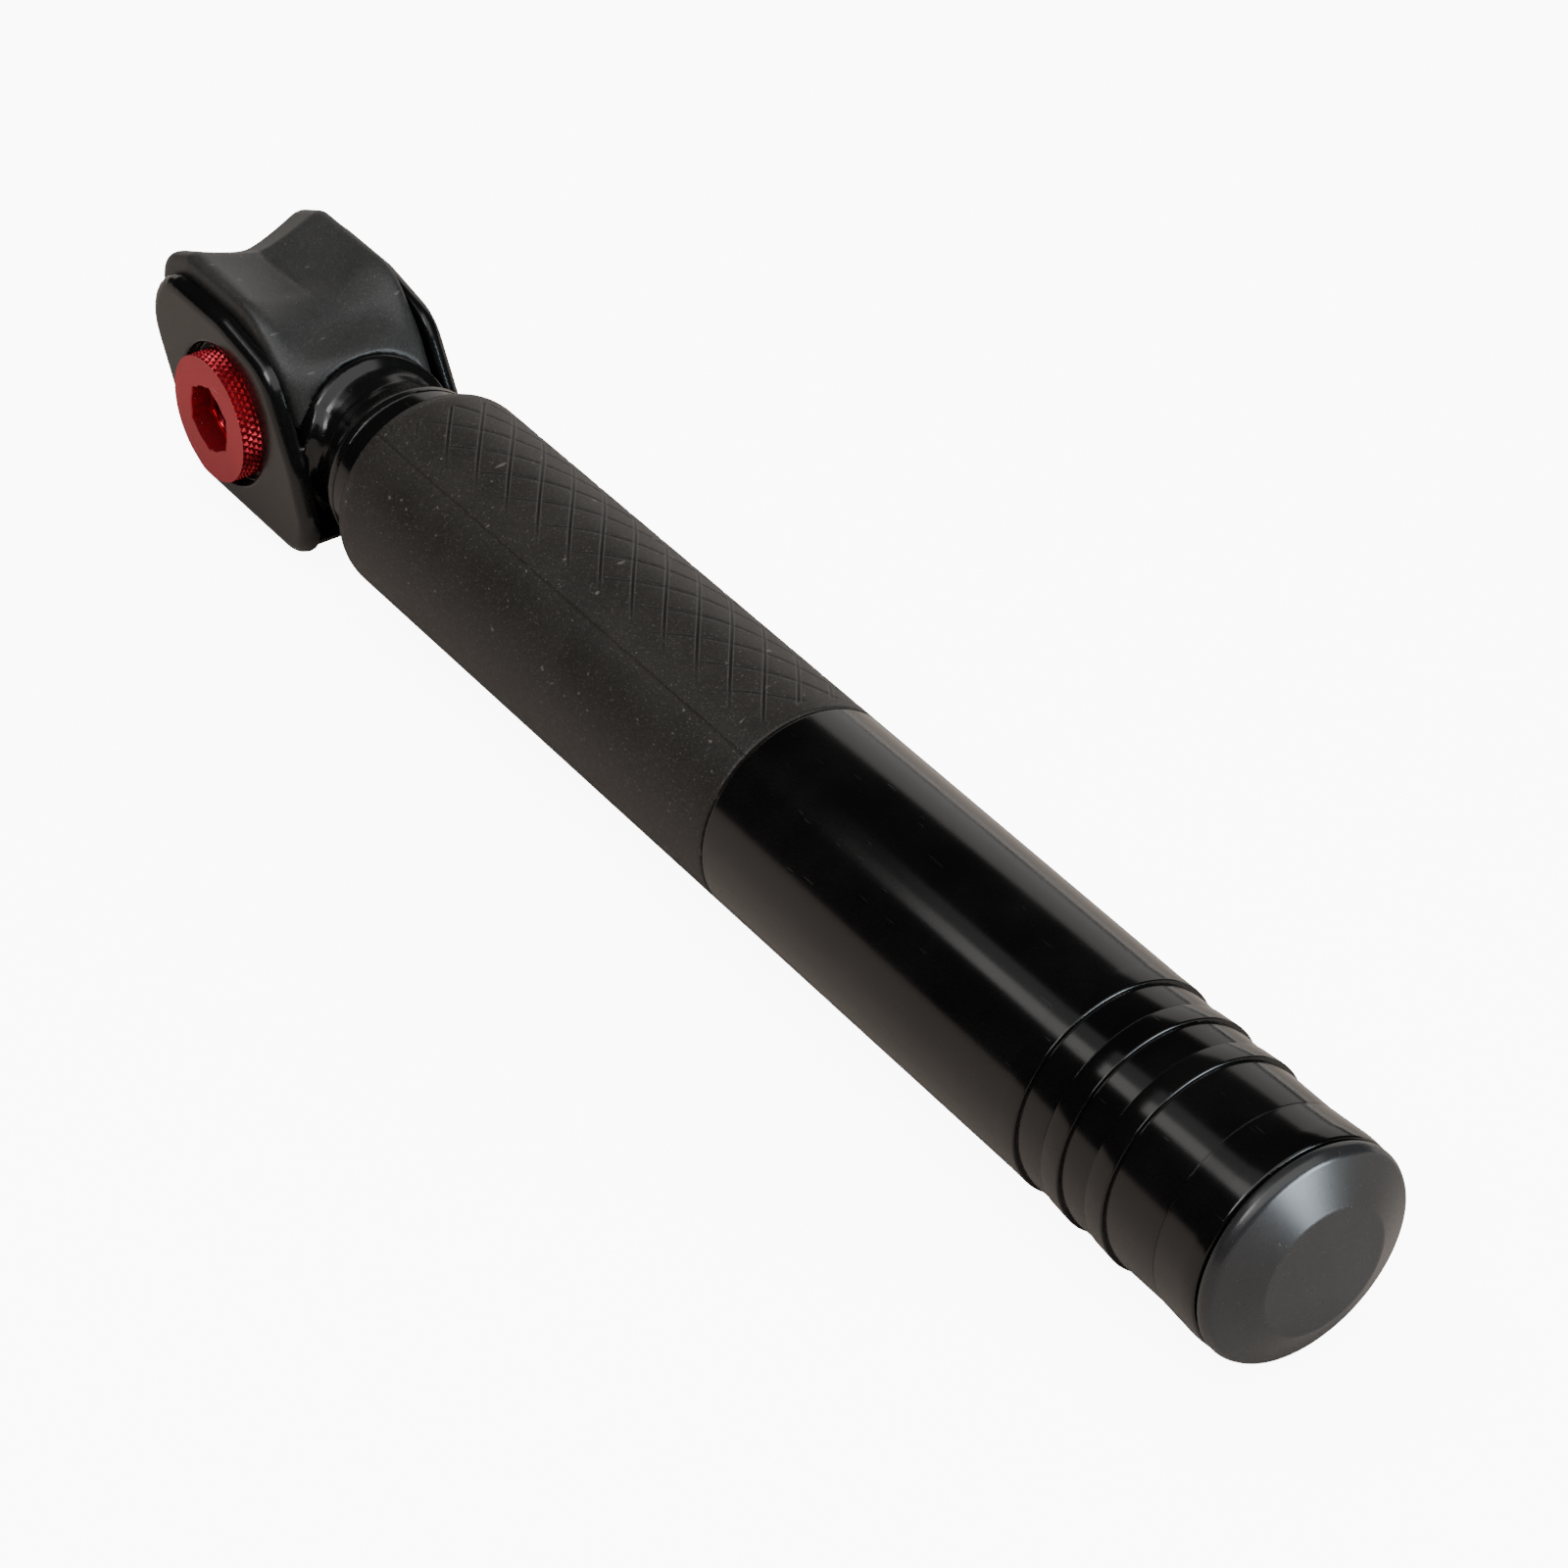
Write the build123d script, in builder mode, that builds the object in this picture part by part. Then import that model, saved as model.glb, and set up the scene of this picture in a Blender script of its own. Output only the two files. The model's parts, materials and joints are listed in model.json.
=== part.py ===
"""Hand pump for the air springs of bicycle shocks and forks.

The pump's axis is X. The origin is on that axis, where the rubber grip ends and the handle
tube begins. +X runs to the end cap, -Y out of the valve chuck and +Z up through the thumb
saddle. Millimetres.
"""
import os

from build123d import *

os.makedirs("parts", exist_ok=True)

# ---- driving dimensions --------------------------------------------------------------
running_gap = 0.05      # radial clearance of a running fit
free_gap = 0.3          # clearance of pieces that pass each other freely
rest_gap = 0.05         # daylight left between a soft piece and what it nearly touches
cut_past = 20.0         # how far a cut runs on past the solid it opens

outer_r = 13.3          # grip and handle tube, outside
handle_wall = 1.3
bush_wall = 1.0         # between the handle tube and the body tube
body_wall = 1.5
barrel_r = 7.0          # pressure barrel, outside
barrel_wall = 1.5
rod_r = 3.5

grip_length = 75.9
grip_lip = 2.2          # length of the grip's tapered front lip
grip_lip_drop = 0.65
lip_edge = 0.2
seam_gap = 0.3          # open line between grip and handle tube
handle_length = 84.9

collar_length = 4.0
collar_inset = 0.1      # the collar is this much slimmer than the body tube
neck_waist_r = 9.0
spigot_length = 14.0

chuck_setback = 23.05   # from the collar to the chuck's axis
plate_face_y = 12.5     # outer face of a side plate
plate_thickness = 2.2
plate_round = 1.7
recess_depth = 1.9

thread_r = 3.85         # valve thread, 7.7 mm across
stem_wall = 1.95
ring_overhang = 2.45    # knurled head of the ring beyond its stem
ring_stand = 1.9        # the ring stands out of the plate by this
ring_chamfer = 0.3
recess_play = 0.95
hex_over_thread = 0.3
hex_depth = 3.4

cone_face_r = 7.8       # flat end face of the cap
cap_length = 4.4        # cap beyond the handle tube

# ---- worked-out places -----------------------------------------------------------------
grip_x1 = -seam_gap
grip_x0 = grip_x1 - grip_length
collar_x0 = grip_x0 - collar_length
handle_bore_r = outer_r - handle_wall
body_r = handle_bore_r - bush_wall
body_bore_r = body_r - body_wall
collar_r = body_r - collar_inset
barrel_bore_r = barrel_r - barrel_wall
cap_x1 = handle_length + cap_length
chuck_x = collar_x0 - chuck_setback
stem_r = thread_r + stem_wall
ring_r = stem_r + ring_overhang
ring_face_y = plate_face_y + ring_stand
recess_r = ring_r + recess_play
hex_flats = 2 * thread_r + hex_over_thread


def axial(x):
    """Plane across the pump's axis at x, looking towards the end cap."""
    return Plane(origin=(x, 0, 0), x_dir=(0, 1, 0), z_dir=(1, 0, 0))


def lateral(y):
    """Plane across the chuck's axis at y, with its normal out of the chuck (-Y)."""
    return Plane(origin=(chuck_x, y, 0), x_dir=(1, 0, 0), z_dir=(0, -1, 0))


def annulus(plane, outer, inner):
    """Ring-shaped face on a plane."""
    with BuildSketch(plane) as ring:
        Circle(outer)
        Circle(inner, mode=Mode.SUBTRACT)
    return ring.sketch


def disc(plane, radius):
    """Round face on a plane."""
    with BuildSketch(plane) as face:
        Circle(radius)
    return face.sketch


def section(points):
    """Face in the XY half-plane from (x, radius) points, to be turned about the pump's axis."""
    with BuildSketch(Plane.XY) as face:
        with BuildLine():
            Polyline(*points, close=True)
        make_face()
    return face.sketch


def finish(builder, name):
    """Label a finished piece and write it."""
    builder.part.label = name
    export_step(builder.part, f"parts/{name}.step")


# ---- head: outline of the side plates ----------------------------------------------------
# Corners of the plate seen from the chuck side, from the chuck's axis, with their radii.
plate_top = 13.6
plate_bottom = -12.1
plate_corners = [
    ((-21.8, plate_top), 7.1),
    ((-7.6, plate_bottom), 5.0),
    ((21.5, plate_bottom), 5.2),
    ((16.7, 0.5), 12.0),
    ((10.2, 11.6), 7.0),
    ((0.0, plate_top), 9.0),
]


def outline(plane, corners, inset=0.0):
    """Rounded outline through corners, drawn in by an inset."""
    with BuildSketch(plane) as face:
        with BuildLine():
            FilletPolyline(
                *[place for place, radius in corners],
                radius=[radius for place, radius in corners],
                close=True,
            )
        make_face()
        if inset:
            offset(amount=-inset)
    return face.sketch


# ---- head housing ------------------------------------------------------------------------
plate_inner_y = plate_face_y - plate_thickness
plate_span = 60.0           # larger than the plates, for cuts across them
core_inset = 3.1            # saddle's thickness over the core
base_inset = 0.4            # step from a plate's edge to the base between the plates
core_rear_x = collar_x0 - 10.8
rim_r = 10.3                # raised lip that the saddle's arch ends on
rim_x0 = collar_x0 - 12.3
rim_x1 = collar_x0 - 9.6
waist_x = collar_x0 - 5.8
neck_rise_x = collar_x0 - 2.4
bore_step_x = collar_x0 - 3.8   # foot of the pressure barrel
spigot_x1 = grip_x0 + spigot_length
valve_r = 4.0               # check-valve cartridge
valve_x0 = bore_step_x - 8.0
passage_r = 1.25
chuck_bore_r = stem_r + running_gap
ring_back_y = -plate_face_y + recess_depth - free_gap
chuck_wire_r = 0.65
oring_groove_y = ring_back_y + 0.9      # outer side of the stem's seal groove
oring_groove_width = 1.6
circlip_y = oring_groove_y + oring_groove_width + 1.6   # outer side of the circlip's groove
circlip_thickness = 0.9
circlip_overlap = 0.8
circlip_r = stem_r + circlip_overlap
stem_groove_r = stem_r - circlip_overlap
stem_end_y = circlip_y + circlip_thickness + 1.5        # inner end of the chuck ring
gasket_r = stem_r - 0.8
gasket_y0 = stem_end_y + 0.4
gasket_thickness = 1.4
pin_base_thickness = 1.2
plug_r = 6.0
plug_length = 9.0
plug_sunk = 0.3
chamber_y1 = plate_face_y - plug_sunk - plug_length
floor_z = -9.0              # top of the solid base between the plates
oring_wire_r = 0.75         # seal round the foot of the barrel
groove_half = 1.0
oring_x = collar_x0 - groove_half - free_gap

with BuildPart() as head_housing:
    extrude(outline(lateral(-plate_inner_y), plate_corners), amount=plate_thickness)
    rim = edges().group_by(Axis.Y)[0]
    fillet(rim, radius=plate_round)
    mirror(about=Plane.XZ)
    # core between the plates, drawn in where the saddle wraps it
    with BuildSketch(lateral(plate_inner_y)) as core:
        add(outline(Plane.XY, plate_corners, core_inset))
        with Locations((core_rear_x - chuck_x, plate_bottom)):
            Rectangle(plate_span, plate_span, align=(Align.MIN, Align.MIN), mode=Mode.SUBTRACT)
    extrude(core.sketch, amount=2 * plate_inner_y)
    # solid base that closes the head underneath
    with BuildSketch(lateral(plate_inner_y)) as base:
        add(outline(Plane.XY, plate_corners, base_inset))
        with Locations((0, floor_z)):
            Rectangle(2 * plate_span, plate_span, align=(Align.CENTER, Align.MIN),
                      mode=Mode.SUBTRACT)
    extrude(base.sketch, amount=2 * plate_inner_y)
    # neck: raised lip, waist and shoulder, turned about the pump's axis
    with BuildSketch(Plane.XY) as neck:
        with BuildLine():
            Polyline((rim_x1, rim_r), (rim_x0, rim_r), (rim_x0, 0), (collar_x0, 0),
                     (collar_x0, collar_r), (neck_rise_x, collar_r))
            ThreePointArc((neck_rise_x, collar_r), (waist_x, neck_waist_r), (rim_x1, rim_r))
        make_face()
    revolve(neck.sketch, axis=Axis.X)
    # spigot for the collar and the body tube
    extrude(disc(axial(collar_x0), body_bore_r), amount=spigot_x1 - collar_x0)
    # bores along the pump: barrel seat, check valve, air passage
    extrude(disc(axial(bore_step_x), barrel_r), amount=spigot_x1 - bore_step_x, mode=Mode.SUBTRACT)
    extrude(disc(axial(valve_x0), valve_r), amount=bore_step_x - valve_x0, mode=Mode.SUBTRACT)
    extrude(disc(axial(chuck_x), passage_r), amount=valve_x0 - chuck_x, mode=Mode.SUBTRACT)
    # bores along the chuck: recess, ring stem, circlip groove, chamber and plug
    extrude(disc(lateral(-plate_face_y + recess_depth), recess_r), amount=cut_past,
            mode=Mode.SUBTRACT)
    extrude(disc(lateral(gasket_y0), chuck_bore_r), amount=cut_past, mode=Mode.SUBTRACT)
    extrude(disc(lateral(chamber_y1), gasket_r), amount=chamber_y1 - gasket_y0, mode=Mode.SUBTRACT)
    extrude(disc(lateral(circlip_y + circlip_thickness), circlip_r), amount=circlip_thickness,
            mode=Mode.SUBTRACT)
    extrude(disc(lateral(chamber_y1), plug_r), amount=-cut_past, mode=Mode.SUBTRACT)
    # groove for the barrel's seal
    extrude(annulus(axial(oring_x - groove_half), barrel_r + 2 * oring_wire_r, barrel_bore_r),
            amount=2 * groove_half, mode=Mode.SUBTRACT)
finish(head_housing, "head_housing")

# ---- thumb saddle ------------------------------------------------------------------------
saddle_half_width = plate_inner_y - rest_gap
saddle_top = 16.4
saddle_valley = 13.4
flare_y = plate_inner_y - 0.8
saddle_corners = [
    ((-14.4, -4.0), 1.0),
    ((-18.8, 5.5), 6.0),
    ((-18.0, 13.0), 4.5),
    ((-11.5, saddle_top), 4.0),
    ((4.5, saddle_top), 5.0),
    ((11.0, 9.8), 4.0),
    ((14.6, 3.2), 0.6),
    ((8.0, 3.2), 0.6),
]
trough_r = (flare_y**2 + (saddle_top - saddle_valley) ** 2) / (2 * (saddle_top - saddle_valley))
arch_r = rim_r + rest_gap

with BuildPart() as thumb_saddle:
    with BuildSketch(lateral(saddle_half_width)) as side:
        add(outline(Plane.XY, saddle_corners))
        # the core of the head, which the saddle wraps
        add(outline(Plane.XY, plate_corners, core_inset - rest_gap), mode=Mode.SUBTRACT)
    extrude(side.sketch, amount=2 * saddle_half_width)
    # valley for the thumb along the top
    with BuildSketch(axial(chuck_x - plate_span / 2)) as trough:
        with Locations((0, saddle_valley + trough_r)):
            Circle(trough_r)
    extrude(trough.sketch, amount=plate_span, mode=Mode.SUBTRACT)
    # arch over the neck
    extrude(disc(axial(rim_x0 - free_gap), arch_r), amount=cut_past, mode=Mode.SUBTRACT)
finish(thumb_saddle, "thumb_saddle")

# ---- valve chuck ---------------------------------------------------------------------------
circlip_play = 0.1
circlip_bore_r = stem_groove_r + circlip_play
circlip_gap = 3.0
hex_turn = 4.0

with BuildPart() as chuck_ring:
    extrude(disc(lateral(ring_back_y), ring_r), amount=ring_face_y + ring_back_y)
    chamfer(edges().group_by(Axis.Y)[0], length=ring_chamfer)
    extrude(disc(lateral(stem_end_y), stem_r), amount=ring_back_y * -1 + stem_end_y)
    # grooves for the circlip and the stem's seal
    extrude(annulus(lateral(circlip_y + circlip_thickness + circlip_play), ring_r, stem_groove_r),
            amount=circlip_thickness + 2 * circlip_play, mode=Mode.SUBTRACT)
    extrude(annulus(lateral(oring_groove_y + oring_groove_width), chuck_bore_r,
                    chuck_bore_r - 2 * chuck_wire_r),
            amount=oring_groove_width, mode=Mode.SUBTRACT)
    # hexagon socket and threaded bore for the valve
    with BuildSketch(lateral(-ring_face_y)):
        RegularPolygon(hex_flats / 2, 6, major_radius=False, rotation=hex_turn)
    extrude(amount=-hex_depth, mode=Mode.SUBTRACT)
    extrude(disc(lateral(stem_end_y), thread_r), amount=ring_face_y + stem_end_y, mode=Mode.SUBTRACT)
finish(chuck_ring, "chuck_ring")

with BuildPart() as chuck_circlip:
    with BuildSketch(lateral(circlip_y + circlip_thickness - running_gap)):
        Circle(circlip_r)
        Circle(circlip_bore_r, mode=Mode.SUBTRACT)
        with Locations((0, -circlip_r)):
            Rectangle(circlip_gap, circlip_bore_r, mode=Mode.SUBTRACT)
    extrude(amount=circlip_thickness - 2 * running_gap)
finish(chuck_circlip, "chuck_circlip")


def oring(plane, wire_r, inner_r):
    """Round-section seal on a plane, as one closed ring of rubber."""
    with BuildPart(plane) as seal:
        Torus(inner_r + wire_r, wire_r)
    return seal.part


with BuildPart() as chuck_oring:
    add(oring(lateral(oring_groove_y + oring_groove_width / 2), chuck_wire_r - running_gap / 2,
              chuck_bore_r - 2 * chuck_wire_r + running_gap / 2))
finish(chuck_oring, "chuck_oring")

gasket_hole_r = 1.7
with BuildPart() as chuck_gasket:
    extrude(annulus(lateral(gasket_y0 + gasket_thickness), gasket_r, gasket_hole_r),
            amount=gasket_thickness)
finish(chuck_gasket, "chuck_gasket")

pin_r = 0.9
pin_tip_y = (stem_end_y + gasket_y0) / 2     # just proud of the gasket, clear of the thread
pin_base_y = gasket_y0 + gasket_thickness
vent_r = 0.7
with BuildPart() as core_pin:
    extrude(disc(lateral(pin_base_y + pin_base_thickness), gasket_r), amount=pin_base_thickness)
    extrude(disc(lateral(pin_base_y), pin_r), amount=pin_base_y - pin_tip_y)
    fillet(edges().group_by(Axis.Y)[0], radius=pin_r / 2)
    with BuildSketch(lateral(pin_base_y + pin_base_thickness)):
        with PolarLocations((pin_r + gasket_hole_r) / 2 + vent_r, 4):
            Circle(vent_r)
    extrude(amount=pin_base_thickness, mode=Mode.SUBTRACT)
finish(core_pin, "core_pin")

plug_wire_r = 0.65
plug_groove_y = chamber_y1 + 1.0
plug_groove_width = 1.6
plug_hex_flats = 6.0
plug_hex_depth = 4.0
small_chamfer = 0.4
with BuildPart() as side_plug:
    extrude(disc(lateral(plate_face_y - plug_sunk), plug_r), amount=plug_length)
    chamfer(edges().group_by(Axis.Y)[-1], length=small_chamfer)
    with BuildSketch(lateral(plate_face_y - plug_sunk)):
        RegularPolygon(plug_hex_flats / 2, 6, major_radius=False)
    extrude(amount=plug_hex_depth, mode=Mode.SUBTRACT)
    extrude(annulus(lateral(plug_groove_y + plug_groove_width), plug_r + cut_past,
                    plug_r - 2 * plug_wire_r),
            amount=plug_groove_width, mode=Mode.SUBTRACT)
finish(side_plug, "side_plug")

with BuildPart() as plug_oring:
    add(oring(lateral(plug_groove_y + plug_groove_width / 2), plug_wire_r,
              plug_r - 2 * plug_wire_r))
finish(plug_oring, "plug_oring")

# ---- check valve between barrel and chuck ----------------------------------------------------
seat_hole_r = 1.2
ball_r = 1.75
ball_chamber_r = 2.5
ball_play = 0.02
seat_wall = 2.2
seat_x = bore_step_x - seat_wall            # face that the ball rests on
ball_x = seat_x - (ball_r**2 - seat_hole_r**2) ** 0.5 - ball_play
with BuildPart() as check_valve_seat:
    extrude(annulus(axial(valve_x0), valve_r, ball_chamber_r), amount=seat_x - valve_x0)
    extrude(annulus(axial(seat_x), valve_r, seat_hole_r), amount=seat_wall)
finish(check_valve_seat, "check_valve_seat")

with BuildPart() as check_valve_ball:
    with Locations((ball_x, 0, 0)):
        Sphere(ball_r)
finish(check_valve_ball, "check_valve_ball")

spring_wire_r = 0.2
spring_r = 1.6
spring_turns = 3
spring_x1 = ball_x - (ball_r**2 - (spring_r - spring_wire_r) ** 2) ** 0.5 - 2 * spring_wire_r
spring_x0 = valve_x0 + spring_wire_r + rest_gap
with BuildPart() as check_valve_spring:
    with BuildLine() as coil:
        Helix(pitch=(spring_x1 - spring_x0) / spring_turns, height=spring_x1 - spring_x0,
              radius=spring_r, center=(spring_x0, 0, 0), direction=(1, 0, 0))
    with BuildSketch(Plane(origin=coil.line @ 0, z_dir=coil.line % 0)):
        Circle(spring_wire_r)
    sweep(path=coil.line, is_frenet=True)
finish(check_valve_spring, "check_valve_spring")

# ---- collar, body tube, grip -----------------------------------------------------------------
bump_length = 1.6
cap_spigot = 7.0
cap_x0 = handle_length - cap_spigot
body_overhang = cap_x0 - bump_length - free_gap     # body tube's end, inside the handle tube
groove_depth = 0.35
with BuildPart() as neck_collar:
    extrude(annulus(axial(collar_x0), collar_r, body_bore_r), amount=collar_length)
    chamfer(edges().filter_by(GeomType.CIRCLE).group_by(Axis.X)[0].sort_by(SortBy.RADIUS)[-1],
            length=groove_depth)
finish(neck_collar, "neck_collar")

with BuildPart() as body_tube:
    extrude(annulus(axial(grip_x0), body_r, body_bore_r), amount=body_overhang - grip_x0)
    chamfer(edges().group_by(Axis.X)[-1], length=small_chamfer)
finish(body_tube, "body_tube")

with BuildPart() as grip_sleeve:
    lip_points = [(grip_x0, body_r), (grip_x1, body_r), (grip_x1, outer_r),
                  (grip_x0 + grip_lip, outer_r),
                  (grip_x0 + lip_edge, outer_r - grip_lip_drop),
                  (grip_x0, outer_r - grip_lip_drop - lip_edge)]
    revolve(section(lip_points), axis=Axis.X)
finish(grip_sleeve, "grip_sleeve")

# ---- pressure barrel and its gland -------------------------------------------------------------
rod_running_r = rod_r + running_gap
piston_r = barrel_bore_r - free_gap / 2
piston_length = 8.0
piston_clearance = 1.5      # left at the barrel's foot when the handle is closed
piston_x0 = bore_step_x + piston_clearance
piston_x1 = piston_x0 + piston_length
bush_x0 = 2.4
bush_length = 6.0
stop_length = 5.0
stop_play = 0.2
stop_x0 = body_overhang - stop_length - small_chamfer
stroke = stop_x0 - (bush_x0 + bush_length) - stop_play
gland_overlap = 4.0
gland_length = 10.0
barrel_x1 = piston_x1 + stroke + free_gap
gland_hole_r = 5.0
bush_wall_length = 4.0
wiper_length = 1.8

with BuildPart() as pressure_barrel:
    extrude(annulus(axial(bore_step_x), barrel_r, barrel_bore_r), amount=barrel_x1 - bore_step_x)
finish(pressure_barrel, "pressure_barrel")

with BuildPart() as barrel_oring:
    add(oring(axial(oring_x), oring_wire_r, barrel_r))
finish(barrel_oring, "barrel_oring")

with BuildPart() as barrel_gland:
    extrude(disc(axial(barrel_x1 - gland_overlap), body_bore_r), amount=gland_length)
    extrude(disc(axial(barrel_x1 - gland_overlap), barrel_r), amount=gland_overlap,
            mode=Mode.SUBTRACT)
    extrude(disc(axial(barrel_x1), gland_hole_r), amount=gland_length, mode=Mode.SUBTRACT)
finish(barrel_gland, "barrel_gland")

with BuildPart() as rod_bush:
    extrude(annulus(axial(barrel_x1), gland_hole_r, rod_running_r), amount=bush_wall_length)
finish(rod_bush, "rod_bush")

with BuildPart() as rod_wiper:
    extrude(annulus(axial(barrel_x1 + bush_wall_length), gland_hole_r, rod_running_r),
            amount=wiper_length)
finish(rod_wiper, "rod_wiper")

with BuildPart() as stop_ring:
    extrude(annulus(axial(stop_x0), handle_bore_r - running_gap, body_r), amount=stop_length)
finish(stop_ring, "stop_ring")

# ---- handle tube and what slides with it ---------------------------------------------------------
wiper_x0 = 0.5
band_root_r = outer_r - 0.36     # bottom of each step
band_crest_r = outer_r + 0.06    # top of each flare, low enough for a band to slide over
band_level_r = outer_r - 0.2     # where a later flare begins
flare_length = 3.0
band_ends = [handle_length - 29.1, handle_length - 21.8, handle_length - 14.6]

last_flare_x = handle_length - 6.6
rim_edge = 1.2
edge_break = 0.25
handle_points = [(0, handle_bore_r), (0, outer_r - edge_break), (edge_break, outer_r)]
for band_x in band_ends:
    start_r = outer_r if band_x == band_ends[0] else band_level_r
    handle_points.append((band_x - flare_length, start_r))
    handle_points.append((band_x - edge_break, band_crest_r))
    handle_points.append((band_x, band_root_r))
handle_points += [(last_flare_x, band_root_r), (handle_length - rim_edge, band_crest_r),
                  (handle_length, outer_r), (handle_length, handle_bore_r)]
with BuildPart() as handle_tube:
    revolve(section(handle_points), axis=Axis.X)
finish(handle_tube, "handle_tube")

with BuildPart() as mouth_wiper:
    extrude(annulus(axial(wiper_x0), handle_bore_r, body_r + running_gap),
            amount=bush_x0 - wiper_x0)
finish(mouth_wiper, "mouth_wiper")

with BuildPart() as handle_bush:
    extrude(annulus(axial(bush_x0), handle_bore_r, body_r + running_gap), amount=bush_length)
finish(handle_bush, "handle_bush")

cap_groove_x = handle_length - 3.5
cap_wire_r = 0.7
cap_groove_half = 1.0
cap_seam = 0.35
cap_rim_r = outer_r - 0.05
cap_cone_r = outer_r - 0.7      # where the cone meets the rounded rim
cap_cone_x = handle_length + 2.1
cap_seam_r = outer_r - 0.7      # floor of the seam between the tube and the cap
cap_round_x = handle_length + 1.35
cap_round_r = outer_r - 0.15
rod_socket = 8.5
with BuildPart() as end_cap:
    with BuildSketch(Plane.XY) as cap:
        with BuildLine():
            Polyline((handle_length + cap_seam, cap_rim_r), (handle_length + cap_seam, cap_seam_r),
                     (handle_length, cap_seam_r), (handle_length, handle_bore_r),
                     (cap_x0, handle_bore_r), (cap_x0, 0), (cap_x1, 0), (cap_x1, cone_face_r),
                     (cap_cone_x, cap_cone_r))
            ThreePointArc((cap_cone_x, cap_cone_r), (cap_round_x, cap_round_r),
                          (handle_length + cap_seam, cap_rim_r))
        make_face()
    revolve(cap.sketch, axis=Axis.X)
    extrude(disc(axial(cap_x0), rod_r), amount=rod_socket, mode=Mode.SUBTRACT)
    extrude(annulus(axial(cap_groove_x - cap_groove_half), handle_bore_r + cut_past,
                    handle_bore_r - 2 * cap_wire_r),
            amount=2 * cap_groove_half, mode=Mode.SUBTRACT)
finish(end_cap, "end_cap")

with BuildPart() as cap_oring:
    add(oring(axial(cap_groove_x), cap_wire_r, handle_bore_r - 2 * cap_wire_r))
finish(cap_oring, "cap_oring")

with BuildPart() as bump_ring:
    extrude(annulus(axial(cap_x0 - bump_length), handle_bore_r - running_gap, body_bore_r),
            amount=bump_length)
finish(bump_ring, "bump_ring")

rod_spigot_r = 2.2
rod_spigot_length = 5.0
with BuildPart() as piston_rod:
    extrude(disc(axial(piston_x1), rod_r), amount=cap_x0 + rod_socket - piston_x1)
    extrude(disc(axial(piston_x1 - rod_spigot_length), rod_spigot_r), amount=rod_spigot_length)
    chamfer(edges().group_by(Axis.X)[-1], length=small_chamfer)
finish(piston_rod, "piston_rod")

nut_length = 4.0
nut_flats = 11.0
with BuildPart() as rod_nut:
    with BuildSketch(axial(cap_x0 - nut_length)):
        RegularPolygon(nut_flats / 2, 6, major_radius=False)
        Circle(rod_r, mode=Mode.SUBTRACT)
    extrude(amount=nut_length)
finish(rod_nut, "rod_nut")

seal_groove_x = piston_x0 + 1.4
seal_width = 2.2
wear_groove_x = piston_x0 + 4.8
wear_width = 2.2
groove_floor_r = 4.2
with BuildPart() as piston_head:
    extrude(disc(axial(piston_x0), piston_r), amount=piston_length)
    extrude(disc(axial(piston_x1 - rod_spigot_length), rod_spigot_r), amount=rod_spigot_length,
            mode=Mode.SUBTRACT)
    for groove_x, groove_width in ((seal_groove_x, seal_width), (wear_groove_x, wear_width)):
        extrude(annulus(axial(groove_x), barrel_r, groove_floor_r), amount=groove_width,
                mode=Mode.SUBTRACT)
finish(piston_head, "piston_head")

with BuildPart() as piston_seal:
    extrude(annulus(axial(seal_groove_x), barrel_bore_r - running_gap, groove_floor_r),
            amount=seal_width)
finish(piston_seal, "piston_seal")

with BuildPart() as wear_ring:
    extrude(annulus(axial(wear_groove_x), barrel_bore_r - running_gap, groove_floor_r),
            amount=wear_width)
finish(wear_ring, "wear_ring")

print(f"stroke {stroke:.2f} mm, barrel's open end at {barrel_x1:.2f}, ball at {ball_x:.3f}")
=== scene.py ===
# %% [markdown]
# # A pocket pump for bicycle air suspension
#
# The pump is a slim tube with a head at one end. A rubber sleeve covers the fixed half, a black
# anodised tube slides on it as the handle, and a red threaded ring in the head screws onto the
# valve. The engineering model is already there: this lesson loads it as a fixed frame and builds a
# finer skin for its seven main pieces, in metres, without moving anything.

# %% Load the frame
import json
import math

import bmesh
import bpy
import numpy as np
import openvdb
from mathutils import Matrix, Vector


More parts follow.
